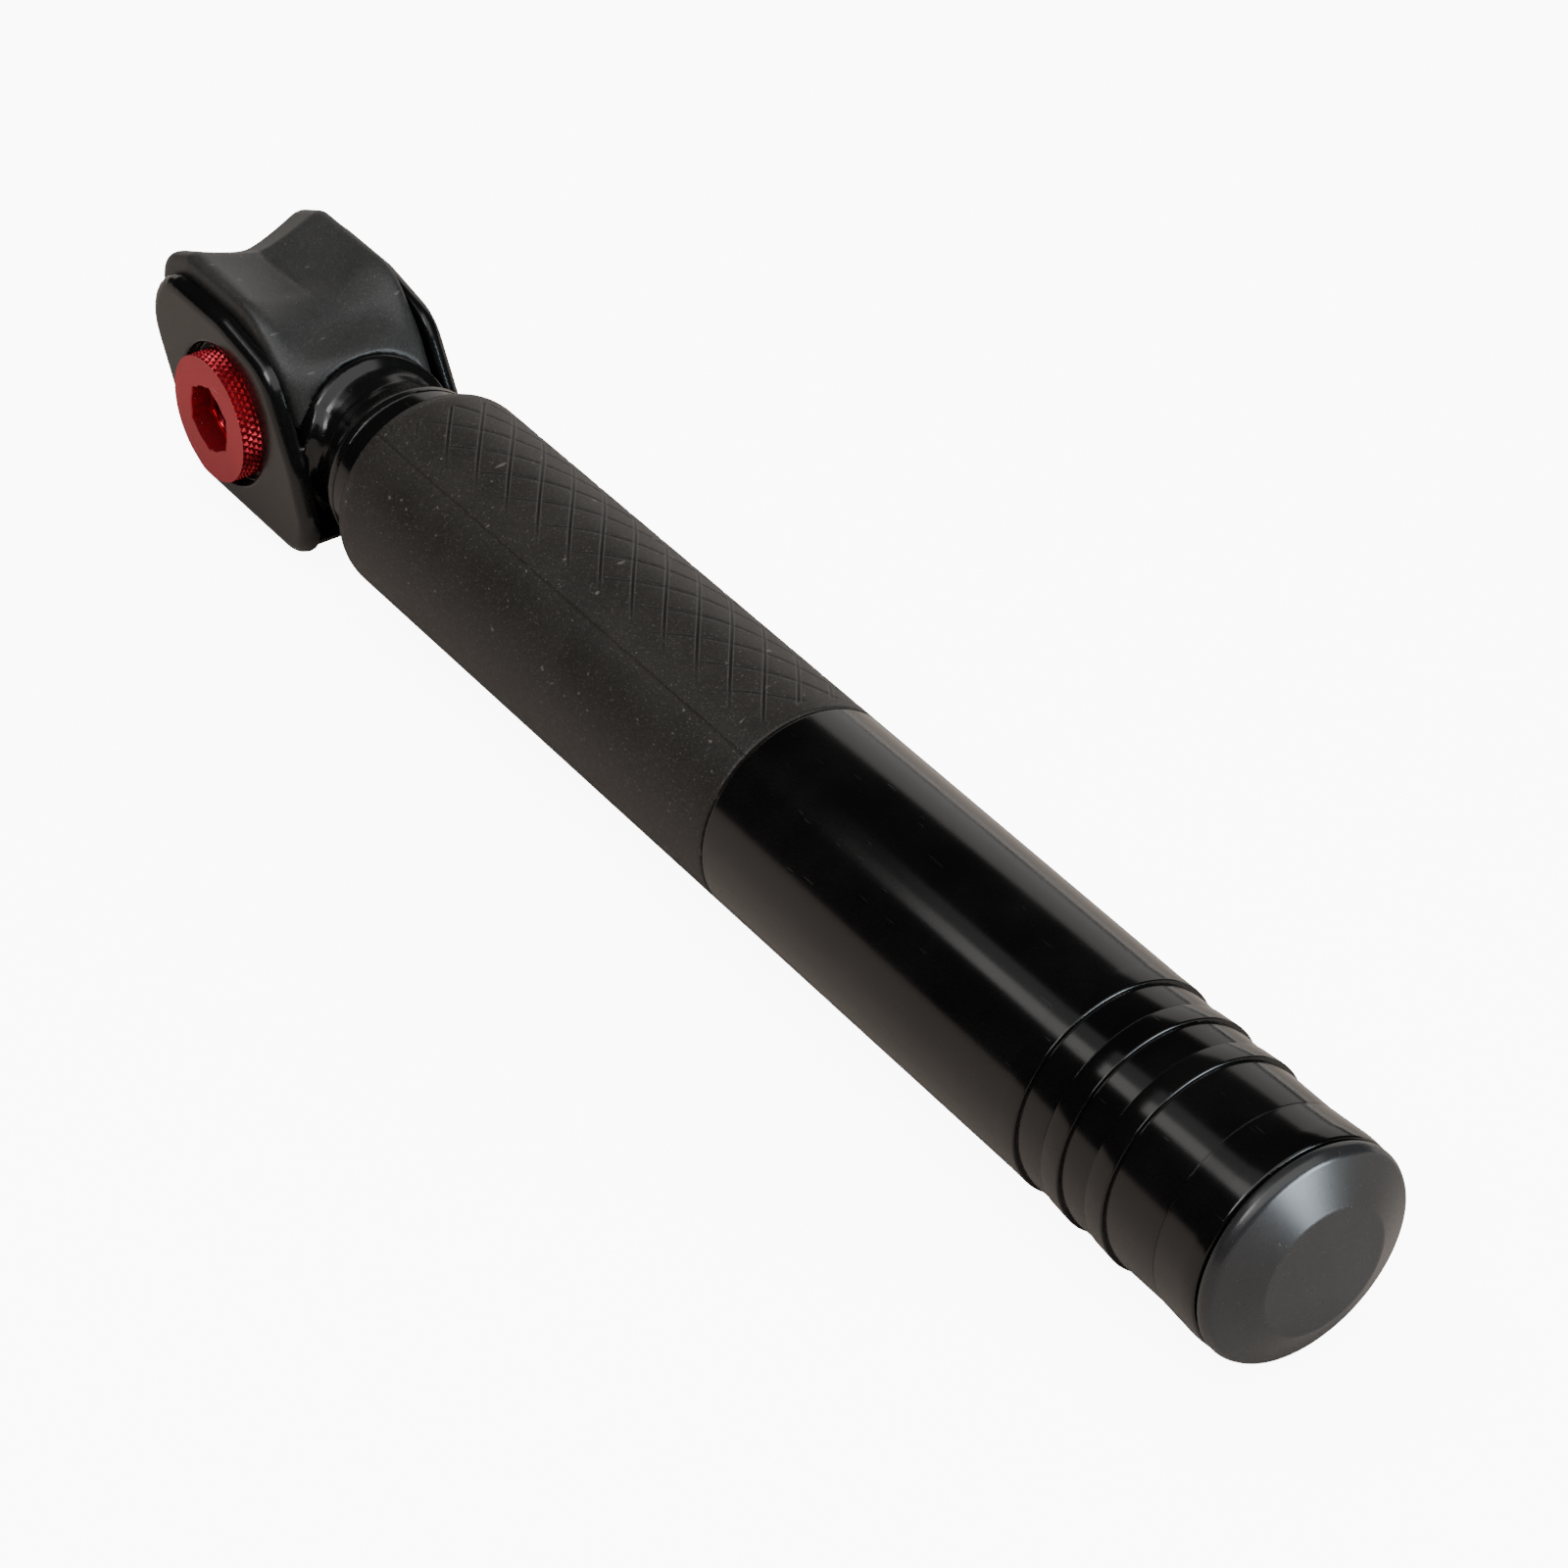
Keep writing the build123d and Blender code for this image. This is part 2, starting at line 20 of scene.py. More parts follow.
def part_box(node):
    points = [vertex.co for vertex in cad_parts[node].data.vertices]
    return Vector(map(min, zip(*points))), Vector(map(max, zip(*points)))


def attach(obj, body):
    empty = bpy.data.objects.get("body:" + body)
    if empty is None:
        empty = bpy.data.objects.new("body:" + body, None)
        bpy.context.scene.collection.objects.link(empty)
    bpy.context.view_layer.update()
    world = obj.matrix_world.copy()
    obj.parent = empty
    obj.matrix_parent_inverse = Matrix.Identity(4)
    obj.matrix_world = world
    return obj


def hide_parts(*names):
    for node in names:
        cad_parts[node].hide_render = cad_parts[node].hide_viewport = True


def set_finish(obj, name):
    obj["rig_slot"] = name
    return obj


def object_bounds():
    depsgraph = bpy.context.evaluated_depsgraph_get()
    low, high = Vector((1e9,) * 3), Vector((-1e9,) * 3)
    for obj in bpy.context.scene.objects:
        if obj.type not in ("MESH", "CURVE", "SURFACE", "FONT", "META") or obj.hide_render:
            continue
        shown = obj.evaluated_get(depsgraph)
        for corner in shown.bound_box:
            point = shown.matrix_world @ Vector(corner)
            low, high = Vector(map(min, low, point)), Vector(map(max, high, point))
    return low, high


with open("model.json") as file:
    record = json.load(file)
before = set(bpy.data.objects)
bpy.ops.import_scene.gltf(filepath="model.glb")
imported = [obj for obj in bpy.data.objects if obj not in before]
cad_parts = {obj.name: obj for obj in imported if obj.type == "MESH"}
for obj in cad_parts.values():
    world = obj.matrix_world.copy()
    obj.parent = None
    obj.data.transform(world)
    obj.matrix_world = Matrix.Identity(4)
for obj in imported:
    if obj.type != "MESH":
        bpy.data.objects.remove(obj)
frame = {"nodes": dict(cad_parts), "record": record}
cad_box = [list(corner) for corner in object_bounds()]
MM = 0.001
slot_of = {row["node"]: row["material_slot"] for row in frame["record"]["subparts"]}
print(len(frame["nodes"]), "nodes; box in mm:",
      [[round(c / MM, 1) for c in corner] for corner in cad_box])


def box_mm(node):
    """Lowest and highest corner of a node, in millimetres."""
    low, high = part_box(node)
    return np.array(low) / MM, np.array(high) / MM


# %% [markdown]
# ## Measures
#
# Every place in this file comes from the boxes of the engineering nodes. Millimetres are easier
# to think in for an object this small, so shapes are worked out in millimetres and turned into
# metres when a mesh is made.

# %% Read the places of the main pieces
grip_low, grip_high = box_mm("grip_sleeve")
tube_high = box_mm("handle_tube")[1]
cap_low, cap_high = box_mm("end_cap")
ring_low, ring_high = box_mm("chuck_ring")
collar_low, collar_high = box_mm("neck_collar")
head_low, head_high = box_mm("head_housing")
body_tube_low, body_tube_high = box_mm("body_tube")

grip_x0, grip_x1 = grip_low[0], grip_high[0]
outer_r = (grip_high[1] - grip_low[1]) / 2
body_r = (body_tube_high[1] - body_tube_low[1]) / 2
tube_x1 = tube_high[0]
cap_x1 = cap_high[0]
collar_x0, collar_x1 = collar_low[0], collar_high[0]
collar_r = (collar_high[1] - collar_low[1]) / 2
chuck_x = (ring_low[0] + ring_high[0]) / 2
ring_r = (ring_high[0] - ring_low[0]) / 2
ring_face_y = ring_low[1]
stem_end_y = ring_high[1]
plate_face_y = head_high[1]
bush_low, bush_high = box_mm("handle_bush")
handle_bore_r = (bush_high[1] - bush_low[1]) / 2
print(f"grip {grip_x0:.1f} to {grip_x1:.1f}, radius {outer_r:.2f}; chuck axis at {chuck_x:.2f}")


# %% [markdown]
# ## Helpers for meshes
#
# Every piece starts as points and faces, is closed and turned the right way out, and rides on the
# body it moves with.

# %% Make a piece from points and faces
MERGE = 0.000002    # points nearer than this are one point, in metres


def make_piece(name, points_mm, faces, body, slot, smooth_angle=35):
    """A mesh object at the origin, from points in millimetres."""
    mesh = bpy.data.meshes.new(name)
    mesh.from_pydata((np.asarray(points_mm) * MM).tolist(), [], faces)
    mesh.validate()
    mesh.update()
    piece = bpy.data.objects.new(name, mesh)
    bpy.context.scene.collection.objects.link(piece)
    close_up(piece)
    mesh.shade_smooth()
    mesh.set_sharp_from_angle(angle=math.radians(smooth_angle))
    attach(piece, body)
    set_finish(piece, slot)
    return piece


def close_up(piece):
    """Merge doubled points and turn every face outwards."""
    work = bmesh.new()
    work.from_mesh(piece.data)
    bmesh.ops.remove_doubles(work, verts=work.verts, dist=MERGE)
    bmesh.ops.recalc_face_normals(work, faces=work.faces)
    work.to_mesh(piece.data)
    work.free()


def report(piece):
    """Print what a piece came out as."""
    print(f"{piece.name}: {len(piece.data.vertices)} points, {len(piece.data.polygons)} faces")


print(f"points nearer than {MERGE / MM:.3f} mm are merged")

# %% [markdown]
# Turned shapes start as a profile. `round_off` replaces the profile's corners with small arcs,
# because a real turned edge is never perfectly sharp and it is the tiny round that catches the
# light. `lathe` spins the profile about the pump's axis, as a real lathe would. `loop_faces` joins
# a stack of loops with quads, and serves again wherever a piece is such a stack.

# %% Turn a profile
def round_off(corners, steps=4):
    """Profile points with each (x, r, radius) corner replaced by a small arc."""
    count, points = len(corners), []
    for i, (x, r, radius) in enumerate(corners):
        here = np.array([x, r])
        before = np.array(corners[i - 1][:2]) - here
        after = np.array(corners[(i + 1) % count][:2]) - here
        room = 0.45 * min(np.linalg.norm(before), np.linalg.norm(after))
        cut = min(radius, room)
        if cut < 1e-6:
            points.append(here)
            continue
        start = here + before / np.linalg.norm(before) * cut
        end = here + after / np.linalg.norm(after) * cut
        for t in np.linspace(0, 1, steps + 1):
            points.append((1 - t) ** 2 * start + 2 * t * (1 - t) * here + t * t * end)
    return np.array(points)


def loop_faces(rows, columns, closed=True):
    """Quads between neighbouring loops; a closed stack joins its last loop to its first."""
    return [
        (i * columns + j, i * columns + (j + 1) % columns,
         (i + 1) % rows * columns + (j + 1) % columns, (i + 1) % rows * columns + j)
        for i in range(rows if closed else rows - 1) for j in range(columns)
    ]


def lathe(profile, segments=256, closed=True):
    """Points and faces of a profile of (x, radius) spun about the pump's axis."""
    profile = np.asarray(profile)
    turn = np.tile(np.linspace(0, 2 * math.pi, segments, endpoint=False), len(profile))
    x = np.repeat(profile[:, 0], segments)
    r = np.repeat(profile[:, 1], segments)
    points = np.column_stack([x, r * np.sin(turn), r * np.cos(turn)])
    return points, loop_faces(len(profile), segments, closed)


washer = round_off([(0, 5, 0.1), (0, 6, 0.1), (1, 6, 0.1), (1, 5, 0.1)])
print("a washer's 4 corners become", len(washer), "profile points")


# %% [markdown]
# ## Handle tube
#
# On the real pump this is a drawn aluminium tube, turned with three shallow flares near its end
# and anodised black. A spun profile says exactly that. The flares are cones only a few tenths of
# a millimetre high. What the eye sees is the break at each crest, so each crest has a small
# round and a fine tool groove behind it.

# %% Measures of the bands
flare_ends = [tube_x1 - 29.1, tube_x1 - 21.8, tube_x1 - 14.6]
flare_length = 3.0
crest_r = outer_r + 0.06
root_r = outer_r - 0.36
flare_start_r = root_r + 0.16
groove_r, groove_width = root_r - 0.06, 0.10
fall, climb = 0.06, 0.14        # foot of the near wall and, a groove's width on, top of the far wall
step_r = root_r + 0.07
mark_behind = 4.1               # from a crest to the tool mark behind it
last_mark_x, last_flare_x, mouth_x = tube_x1 - 6.75, tube_x1 - 6.3, tube_x1 - 1.6
print(f"{len(flare_ends)} flares, {crest_r - root_r:.2f} mm from root to crest")


# %% Turn the handle tube
def fine_groove(x):
    """A tool mark at x: a narrow cut, then a small step up."""
    return [(x, root_r, 0.02), (x + 0.04, groove_r, 0.02), (x + 0.12, groove_r, 0.02),
            (x + 0.18, step_r, 0.04)]


tube_profile = [(0, handle_bore_r, 0.1), (0, outer_r, 0.25)]
for end_x in flare_ends:
    start_r = outer_r if end_x == flare_ends[0] else flare_start_r
    tube_profile += [
        (end_x - flare_length, start_r, 0.25), (end_x, crest_r, 0.24), (end_x + fall, groove_r, 0.03),
        (end_x + fall + groove_width, groove_r, 0.03), (end_x + climb + groove_width, root_r, 0.03),
    ]
    if end_x != flare_ends[-1]:
        tube_profile += fine_groove(end_x + mark_behind)
tube_profile += fine_groove(last_mark_x)
tube_profile += [
    (last_flare_x, step_r, 0.05), (mouth_x, crest_r, 0.8), (tube_x1, crest_r - 0.12, 0.35),
    (tube_x1, handle_bore_r, 0.1),
]
handle_tube = make_piece("handle_tube_turned", *lathe(round_off(tube_profile)), "handle",
                         "tube_black", 28)
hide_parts("handle_tube")
report(handle_tube)

# %% [markdown]
# ## End cap
#
# The cap is turned from bar: a rounded rim, a wide shallow cone and a flat face. It is one
# profile from the axis at the outer face to the axis at the inner end, and the two ends of the
# profile meet the axis, so the spun mesh closes by itself when the doubled points are merged.

# %% Turn the end cap
cap_face_r = 7.8
cone_x, cone_r = tube_x1 + 2.15, outer_r - 0.75
rim_x = tube_x1 + 0.35
seam_r = outer_r - 0.7          # floor of the fine seam between the tube and the cap
cap_x0 = cap_low[0]
rod_r, socket_end = 3.5, cap_x0 + 8.5
wire_r = 0.7
oring_near_x, oring_far_x = tube_x1 - 2.5, tube_x1 - 4.5
oring_floor_r = handle_bore_r - 2 * wire_r
cap_profile = [
    (cap_x1, 0, 0), (cap_x1, cap_face_r, 0.3), (cone_x, cone_r, 0.25),
    (cone_x - 0.25, outer_r - 0.42, 0.3), (rim_x + 0.75, outer_r - 0.03, 0.8),
    (rim_x, outer_r - 0.12, 0.25), (rim_x, seam_r, 0.02), (tube_x1, seam_r, 0.02),
    (tube_x1, handle_bore_r, 0.05), (oring_near_x, handle_bore_r, 0.05),
    (oring_near_x, oring_floor_r, 0.05), (oring_far_x, oring_floor_r, 0.05),
    (oring_far_x, handle_bore_r, 0.05), (cap_x0, handle_bore_r, 0.3), (cap_x0, rod_r, 0.2),
    (socket_end, rod_r, 0.1), (socket_end, 0, 0),
]
end_cap = make_piece("end_cap_turned", *lathe(round_off(cap_profile, 5), closed=False), "handle",
                     "cap_black", 30)
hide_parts("end_cap")
report(end_cap)

# %% [markdown]
# ## Collar
#
# A plain ring joins the neck to the grip. A fine chamfer marks where it meets the head.

# %% Turn the collar
body_wall, chamfer = 1.5, 0.12
collar_bore_r = body_r - body_wall
collar_profile = [
    (collar_x0, collar_bore_r, 0.1), (collar_x0, collar_r - chamfer, 0.05),
    (collar_x0 + chamfer, collar_r, 0.1), (collar_x1, collar_r, 0.05), (collar_x1, collar_bore_r, 0.1),
]
neck_collar = make_piece("neck_collar_turned", *lathe(round_off(collar_profile)), "pump_body",
                         "tube_black")
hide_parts("neck_collar")
report(neck_collar)

# %% [markdown]
# ## Shapes from distance fields
#
# The head is a casting and the saddle is a rubber moulding: soft blends, no straight profile to
# spin. Each is described by how far any point is from its surface. Solids are joined and cut by
# taking the smaller or larger distance, with a small blend so that no edge is razor sharp. A
# sparse volume turns the field into quads, and every vertex is then pulled onto the
# surface, which leaves the shading clean.

# %% Blend two distances
def blend_max(a, b, width):
    """Larger of two distances, with a rounded edge: cuts one solid by another."""
    gap = np.clip(0.5 - 0.5 * (b - a) / width, 0, 1)
    return b * (1 - gap) + a * gap + width * gap * (1 - gap)


def blend_min(a, b, width):
    """Smaller of two distances, with a filled corner: joins two solids."""
    return -blend_max(-a, -b, width)


print(f"two equal distances of 1 mm, cut with a 0.5 mm blend: {blend_max(1.0, 1.0, 0.5):.3f} mm")


# %% Outlines and how far a point is from them
def outline_points(corners, steps=10):
    """Closed outline through ((u, z), radius) corners with round corners."""
    made, count = [], len(corners)
    for i, (place, radius) in enumerate(corners):
        here = np.array(place, float)
        before = np.array(corners[i - 1][0], float) - here
        after = np.array(corners[(i + 1) % count][0], float) - here
        before, after = before / np.linalg.norm(before), after / np.linalg.norm(after)
        half = math.acos(np.clip(before @ after, -1, 1)) / 2
        centre = here + (before + after) / np.linalg.norm(before + after) * radius / math.sin(half)
        start, end = (here + way * radius / math.tan(half) - centre for way in (before, after))
        start_turn = math.atan2(start[1], start[0])
        sweep = (math.atan2(end[1], end[0]) - start_turn + math.pi) % (2 * math.pi) - math.pi
        for t in np.linspace(0, 1, steps):
            turn = start_turn + sweep * t
            made.append(centre + radius * np.array([math.cos(turn), math.sin(turn)]))
    return np.array(made)


def outline_distance(points, u, z):
    """Signed distance from each (u, z) to a closed outline, negative inside."""
    best = np.full(u.shape, 1e9)
    inside = np.zeros(u.shape, bool)
    for a, b in zip(points, np.roll(points, -1, axis=0)):
        edge = b - a
        length = edge @ edge
        if length < 1e-12:
            continue
        t = np.clip(((u - a[0]) * edge[0] + (z - a[1]) * edge[1]) / length, 0, 1)
        best = np.minimum(best, (u - a[0] - t * edge[0]) ** 2 + (z - a[1] - t * edge[1]) ** 2)
        crossing = (a[1] > z) != (b[1] > z)
        inside ^= crossing & (u < a[0] + (z - a[1]) * edge[0] / (edge[1] if edge[1] else 1e-12))
    return np.where(inside, -1, 1) * np.sqrt(best)


# %% Surface of a distance field
def surface_of(distance, low, high, step):
    """Quads on the zero surface of a distance function of (x, y, z), in millimetres."""
    band = 3 * step
    axes = [np.arange(a - band, b + band, step) for a, b in zip(low, high)]
    field = distance(*np.meshgrid(*axes, indexing="ij")).astype(np.float32)
    field = np.clip(field, -band, band)
    grid = openvdb.FloatGrid(float(band))
    grid.copyFromArray(field / step)
    grid.transform = openvdb.createLinearTransform(1.0)
    points, quads = grid.convertToQuads()
    points = points.astype(float) * step + np.array([axis[0] for axis in axes])
    reach, rounds = 0.02, 4
    for _ in range(rounds):
        here = distance(*points.T)
        slope = np.column_stack([
            distance(*(points + reach * way).T) - distance(*(points - reach * way).T)
            for way in np.eye(3)
        ]) / (2 * reach)
        push = here / np.maximum((slope**2).sum(axis=1), 0.05)
        points = points - np.clip(push, -0.5 * step, 0.5 * step)[:, None] * slope
    return points, [tuple(int(i) for i in quad[::-1]) for quad in quads]


# %% [markdown]
# ## Head
#
# Two side plates with rounded rims stand over a narrower core. Behind them a neck runs back to
# the collar: first a raised lip that the rubber ends on, then a waist, then a shoulder. The
# lip leans, so its foot sits further back than its top.

# %% Measures of the head
plate_outline = outline_points([
    ((-21.8, 13.6), 7.1), ((-7.6, -12.1), 5.0), ((21.5, -12.1), 5.2),
    ((16.7, 0.5), 12.0), ((10.2, 11.6), 7.0), ((0.0, 13.6), 9.0),
])
plate_thickness, plate_rim = 2.2, 1.75
plate_inner_y = plate_face_y - plate_thickness
recess_play, recess_depth = 0.95, 1.9
recess_r = ring_r + recess_play
recess_floor_y = -plate_face_y + recess_depth
ring_overhang, running_gap = 2.45, 0.05
stem_r = ring_r - ring_overhang
plug_bore_r = 6.0
core_inset, base_inset, base_top_z, overlap = 3.15, 0.4, -9.0, 0.3
fillet, cut_edge, inner_edge = 0.5, 0.3, 0.35
slope_guard = 0.9       # keeps a stretched field from being steeper than a true distance
gasket_low, gasket_high = box_mm("chuck_gasket")
plug_low = box_mm("side_plug")[0]
barrel_low, barrel_high = box_mm("pressure_barrel")
seat_low, seat_high = box_mm("check_valve_seat")
print(f"recess radius {recess_r:.2f}, floor at y {recess_floor_y:.2f}; ring stem radius {stem_r:.2f}")

# %% Profile of the neck
lip_x, lip_r = collar_x0 - 10.8, 10.36
neck_start_x = collar_x0 - 12.3
lean_end_x, lean_fade = collar_x0 - 3.5, 5
neck_x = collar_x0 + np.array([-16, -10.8, -10.3, -9.8, -9.3, -8.8, -7.8, -5.8, -4.3, -3.1, -2.1,
                               -1.1, 1])
neck_r = np.array([10.3, lip_r, 10.6, 10.55, 10.1, 9.6, 9.15, 9.0, 9.35, 9.95, 10.5, 10.88, 10.9])
smooth = 17
fine_x = np.linspace(neck_x[0], neck_x[-1], 600)
fine_r = np.convolve(np.pad(np.interp(fine_x, neck_x, neck_r), smooth // 2, "edge"),
                     np.ones(smooth) / smooth, "valid")
print(f"neck radius: lip {lip_r}, waist {neck_r.min()}, shoulder {neck_r.max()}")


# %% Shape of the head
def lean(y, z):
    """How far back the lip and the rubber's end sit, by the angle down from the top."""
    turn = np.degrees(np.arctan2(np.abs(y), z))
    return np.interp(turn, [0, 20, 45, 55, 65, 110], [0, 0.15, 0.8, 2.2, 3.2, 3.4])


def head_distance(x, y, z):
    """Signed distance to the head, in millimetres."""
    u, side = x - chuck_x, np.abs(y)
    flat = outline_distance(plate_outline, u, z)
    across, out = flat + plate_rim, side - (plate_face_y - plate_rim)
    plates = (np.minimum(np.maximum(across, out), 0)
              + np.hypot(np.maximum(across, 0), np.maximum(out, 0)))
    plates = blend_max(plates - plate_rim, plate_inner_y - side, inner_edge)
    between = side - plate_inner_y - overlap
    core = np.maximum(np.maximum(flat + core_inset, x - lip_x), between)
    base = np.maximum(np.maximum(flat + base_inset, z - base_top_z), between)
    around = np.hypot(y, z)
    shifted = x - lean(y, z) * np.clip((lean_end_x - x) / lean_fade, 0, 1)
    neck = (around - np.interp(shifted, fine_x, fine_r)) * slope_guard
    neck = np.maximum(np.maximum(neck, x - collar_x0), neck_start_x - x)
    solid = blend_min(blend_min(plates, core, fillet), blend_min(base, neck, fillet), fillet)
    chuck = np.hypot(u, z)
    solid = blend_max(solid, -np.maximum(chuck - recess_r, y - recess_floor_y), cut_edge)
    solid = np.maximum(solid, -np.maximum(chuck - stem_r - running_gap, y - gasket_low[1]))
    solid = np.maximum(solid, -np.maximum(chuck - (gasket_high[0] - chuck_x), y - plug_low[1]))
    solid = blend_max(solid, -np.maximum(chuck - plug_bore_r, plug_low[1] - y), cut_edge)
    solid = np.maximum(solid, -np.maximum(around - barrel_high[1], barrel_low[0] - x))
    seat = np.maximum(np.maximum(around - seat_high[1], seat_low[0] - x), x - seat_high[0] - 1)
    return np.maximum(solid, -seat)


# %% [markdown]
# The head is drawn from its field at a step of a few tenths of a millimetre. That is fine enough
# for the rims, and the push onto the surface takes the last stair steps away.

# %% Make the head
head_step = 0.29
head_start = (head_low[0], -plate_face_y, head_low[2])
head_end = (collar_x0, plate_face_y, head_high[2])
head = make_piece("head_casting", *surface_of(head_distance, head_start, head_end, head_step),
                  "pump_body", "head_black", 180)
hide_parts("head_housing")
report(head)

# %% [markdown]
# ## Thumb saddle
#
# The saddle is a soft rubber moulding between the plates. Its two edges flare up and the middle
# is a trough for the thumb, with a faint moulded line down the centre. Towards the neck the
# trough turns inside out and becomes an arch that lies on the lip.

# %% Measures of the saddle
saddle_outline = outline_points([
    ((-14.4, -4.0), 1.0), ((-18.8, 5.5), 6.0), ((-18.2, 13.2), 5.0), ((-11.5, 16.4), 4.0),
    ((4.6, 16.4), 9.0), ((11.0, 9.9), 12.0), ((14.9, 3.0), 0.6), ((8.0, 3.0), 0.6),
])
rough_depth = np.interp(np.arange(-34, 22, 0.1), [-30, 1, 5, 8, 10.5, 12.5, 16],
                        [3.0, 3.0, 2.5, 1.0, -0.8, -2.0, -2.4])
sink_u = np.arange(-32, 20 - 0.05, 0.1)
sink_depth = np.convolve(rough_depth, np.ones(41) / 41, "valid")[: len(sink_u)]
trough_half_width = 9.4
line_depth, line_half_width = 0.30, 0.5
saddle_gap, saddle_round = 0.08, 2.6
saddle_floor_inset = 3.1
saddle_start_x = collar_x0 - 12.5
print(f"trough {sink_depth.max():.1f} mm deep at the front, arch {-sink_depth.min():.1f} mm high")


# %% Shape of the saddle
def saddle_distance(x, y, z):
    """Signed distance to the saddle, in millimetres."""
    u, side = x - chuck_x, np.abs(y)
    across = np.clip(side / trough_half_width, 0, 1.1)
    bowl = 1 - (across**2 + 0.004) ** np.interp(u, [-10, 4], [0.66, 1.05])
    sink = np.interp(u, sink_u, sink_depth)
    line = line_depth * np.exp(-((y / line_half_width) ** 2))
    line = line * np.clip((3.0 - u) / 9, 0, 1) * np.clip((u + 12) / 3, 0, 1)
    top = (outline_distance(saddle_outline, u, z) + sink * bowl + line) * slope_guard
    solid = blend_max(top, side - (plate_inner_y - saddle_gap), saddle_round)
    solid = blend_max(solid, x - (lip_x + lean(y, z)), inner_edge)
    flat = outline_distance(plate_outline, u, z)
    solid = np.maximum(solid, -(flat + saddle_floor_inset))
    under = np.maximum(np.hypot(y, z) - lip_r, saddle_start_x - x)
    return np.maximum(solid, -under)


# %% [markdown]
# Rubber that is moulded this thick doesn't sag or wrinkle, so no cloth is simulated: the field
# holds the whole form, and its wide blend is the soft edge along both wings.

# %% Make the saddle
saddle_step = 0.25
saddle_low, saddle_high = box_mm("thumb_saddle")
saddle = make_piece("saddle_rubber", *surface_of(saddle_distance, saddle_low, saddle_high, saddle_step),
                    "pump_body", "saddle_rubber", 180)
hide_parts("thumb_saddle")
report(saddle)

# %% [markdown]
# ## Helpers for node trees
#
# Repeating detail is grown by Geometry Nodes, and the finishes are shader trees. Both are chains
# of small sums, so the same helpers write both.

# %% Sums in a node tree
def wire(tree, value, socket):
    """Link a value into a socket if it is one, or else set it."""
    if isinstance(value, bpy.types.NodeSocket):
        tree.links.new(value, socket)
    else:
        socket.default_value = value


def sum_node(tree, operation, *values):
    """One maths node; values are numbers or sockets."""
    node = tree.nodes.new("ShaderNodeMath")
    node.operation = operation
    for value, socket in zip(values, node.inputs):
        wire(tree, value, socket)
    return node.outputs[0]


def product(tree, first, *others):
    """All the values multiplied together."""
    for other in others:
        first = sum_node(tree, "MULTIPLY", first, other)
    return first


def ramp(tree, value, low, high, to_low=0.0, to_high=1.0):
    """A value mapped from one range to another, with soft ends."""
    node = tree.nodes.new("ShaderNodeMapRange")
    node.interpolation_type = "SMOOTHSTEP"
    for socket, amount in zip(node.inputs, (value, low, high, to_low, to_high)):
        wire(tree, amount, socket)
    return node.outputs[0]


# %% [markdown]
# A geometry tree has named inputs for its sizes, so the same tree could cut another sleeve or
# ring. Both trees here push points straight towards an axis. Each ends in Realize Instances and
# Set Material, and its result is kept as a plain mesh.

# %% Geometry trees
FLOAT, INT, MATERIAL = "NodeSocketFloat", "NodeSocketInt", "NodeSocketMaterial"


def new_tree(name, inputs):
    """A geometry tree with named inputs; returns it, its input node and its output node."""
    tree = bpy.data.node_groups.new(name, "GeometryNodeTree")
    tree.interface.new_socket(name="Geometry", in_out="INPUT", socket_type="NodeSocketGeometry")
    for label, kind in inputs.items():
        tree.interface.new_socket(name=label, in_out="INPUT", socket_type=kind)
    tree.interface.new_socket(name="Geometry", in_out="OUTPUT", socket_type="NodeSocketGeometry")
    return tree, tree.nodes.new("NodeGroupInput"), tree.nodes.new("NodeGroupOutput")


def place(tree):
    """The x, y and z of the point being worked on."""
    parts = tree.nodes.new("ShaderNodeSeparateXYZ")
    tree.links.new(tree.nodes.new("GeometryNodeInputPosition").outputs[0], parts.inputs[0])
    return parts.outputs


def radius_of(tree, a, b):
    """Distance from an axis, from the two coordinates across it."""
    return sum_node(tree, "SQRT", sum_node(tree, "ADD", product(tree, a, a), product(tree, b, b)))


def toward_axis(tree, depth, around, across):
    """An offset of this depth straight towards the axis, from the named coordinates across it."""
    share = sum_node(tree, "DIVIDE", depth, product(tree, around, -1.0))
    offset = tree.nodes.new("ShaderNodeCombineXYZ")
    for letter, value in across.items():
        wire(tree, product(tree, value, share), offset.inputs[letter])
    return offset.outputs[0]


def push_and_close(tree, entry, out, offset):
    """Move the points by an offset, then finish the tree."""
    push = tree.nodes.new("GeometryNodeSetPosition")
    whole = tree.nodes.new("GeometryNodeRealizeInstances")
    paint = tree.nodes.new("GeometryNodeSetMaterial")
    wire(tree, entry.outputs["Geometry"], push.inputs["Geometry"])
    wire(tree, offset, push.inputs["Offset"])
    wire(tree, push.outputs[0], whole.inputs[0])
    wire(tree, whole.outputs[0], paint.inputs["Geometry"])
    wire(tree, entry.outputs["Material"], paint.inputs["Material"])
    wire(tree, paint.outputs[0], out.inputs[0])
    print(tree.name, "tree:", len(tree.nodes), "nodes")


def grow(piece, tree, settings):
    """Run a tree on a piece with the given settings and keep the result as a plain mesh."""
    modifier = piece.modifiers.new(tree.name, "NODES")
    modifier.node_group = tree
    for item in tree.interface.items_tree:
        if item.in_out == "INPUT" and item.name in settings:
            modifier[item.identifier] = settings[item.name]
    graph = bpy.context.evaluated_depsgraph_get()
    made = bpy.data.meshes.new_from_object(piece.evaluated_get(graph))
    piece.modifiers.clear()
    made.name = piece.data.name
    piece.data = made


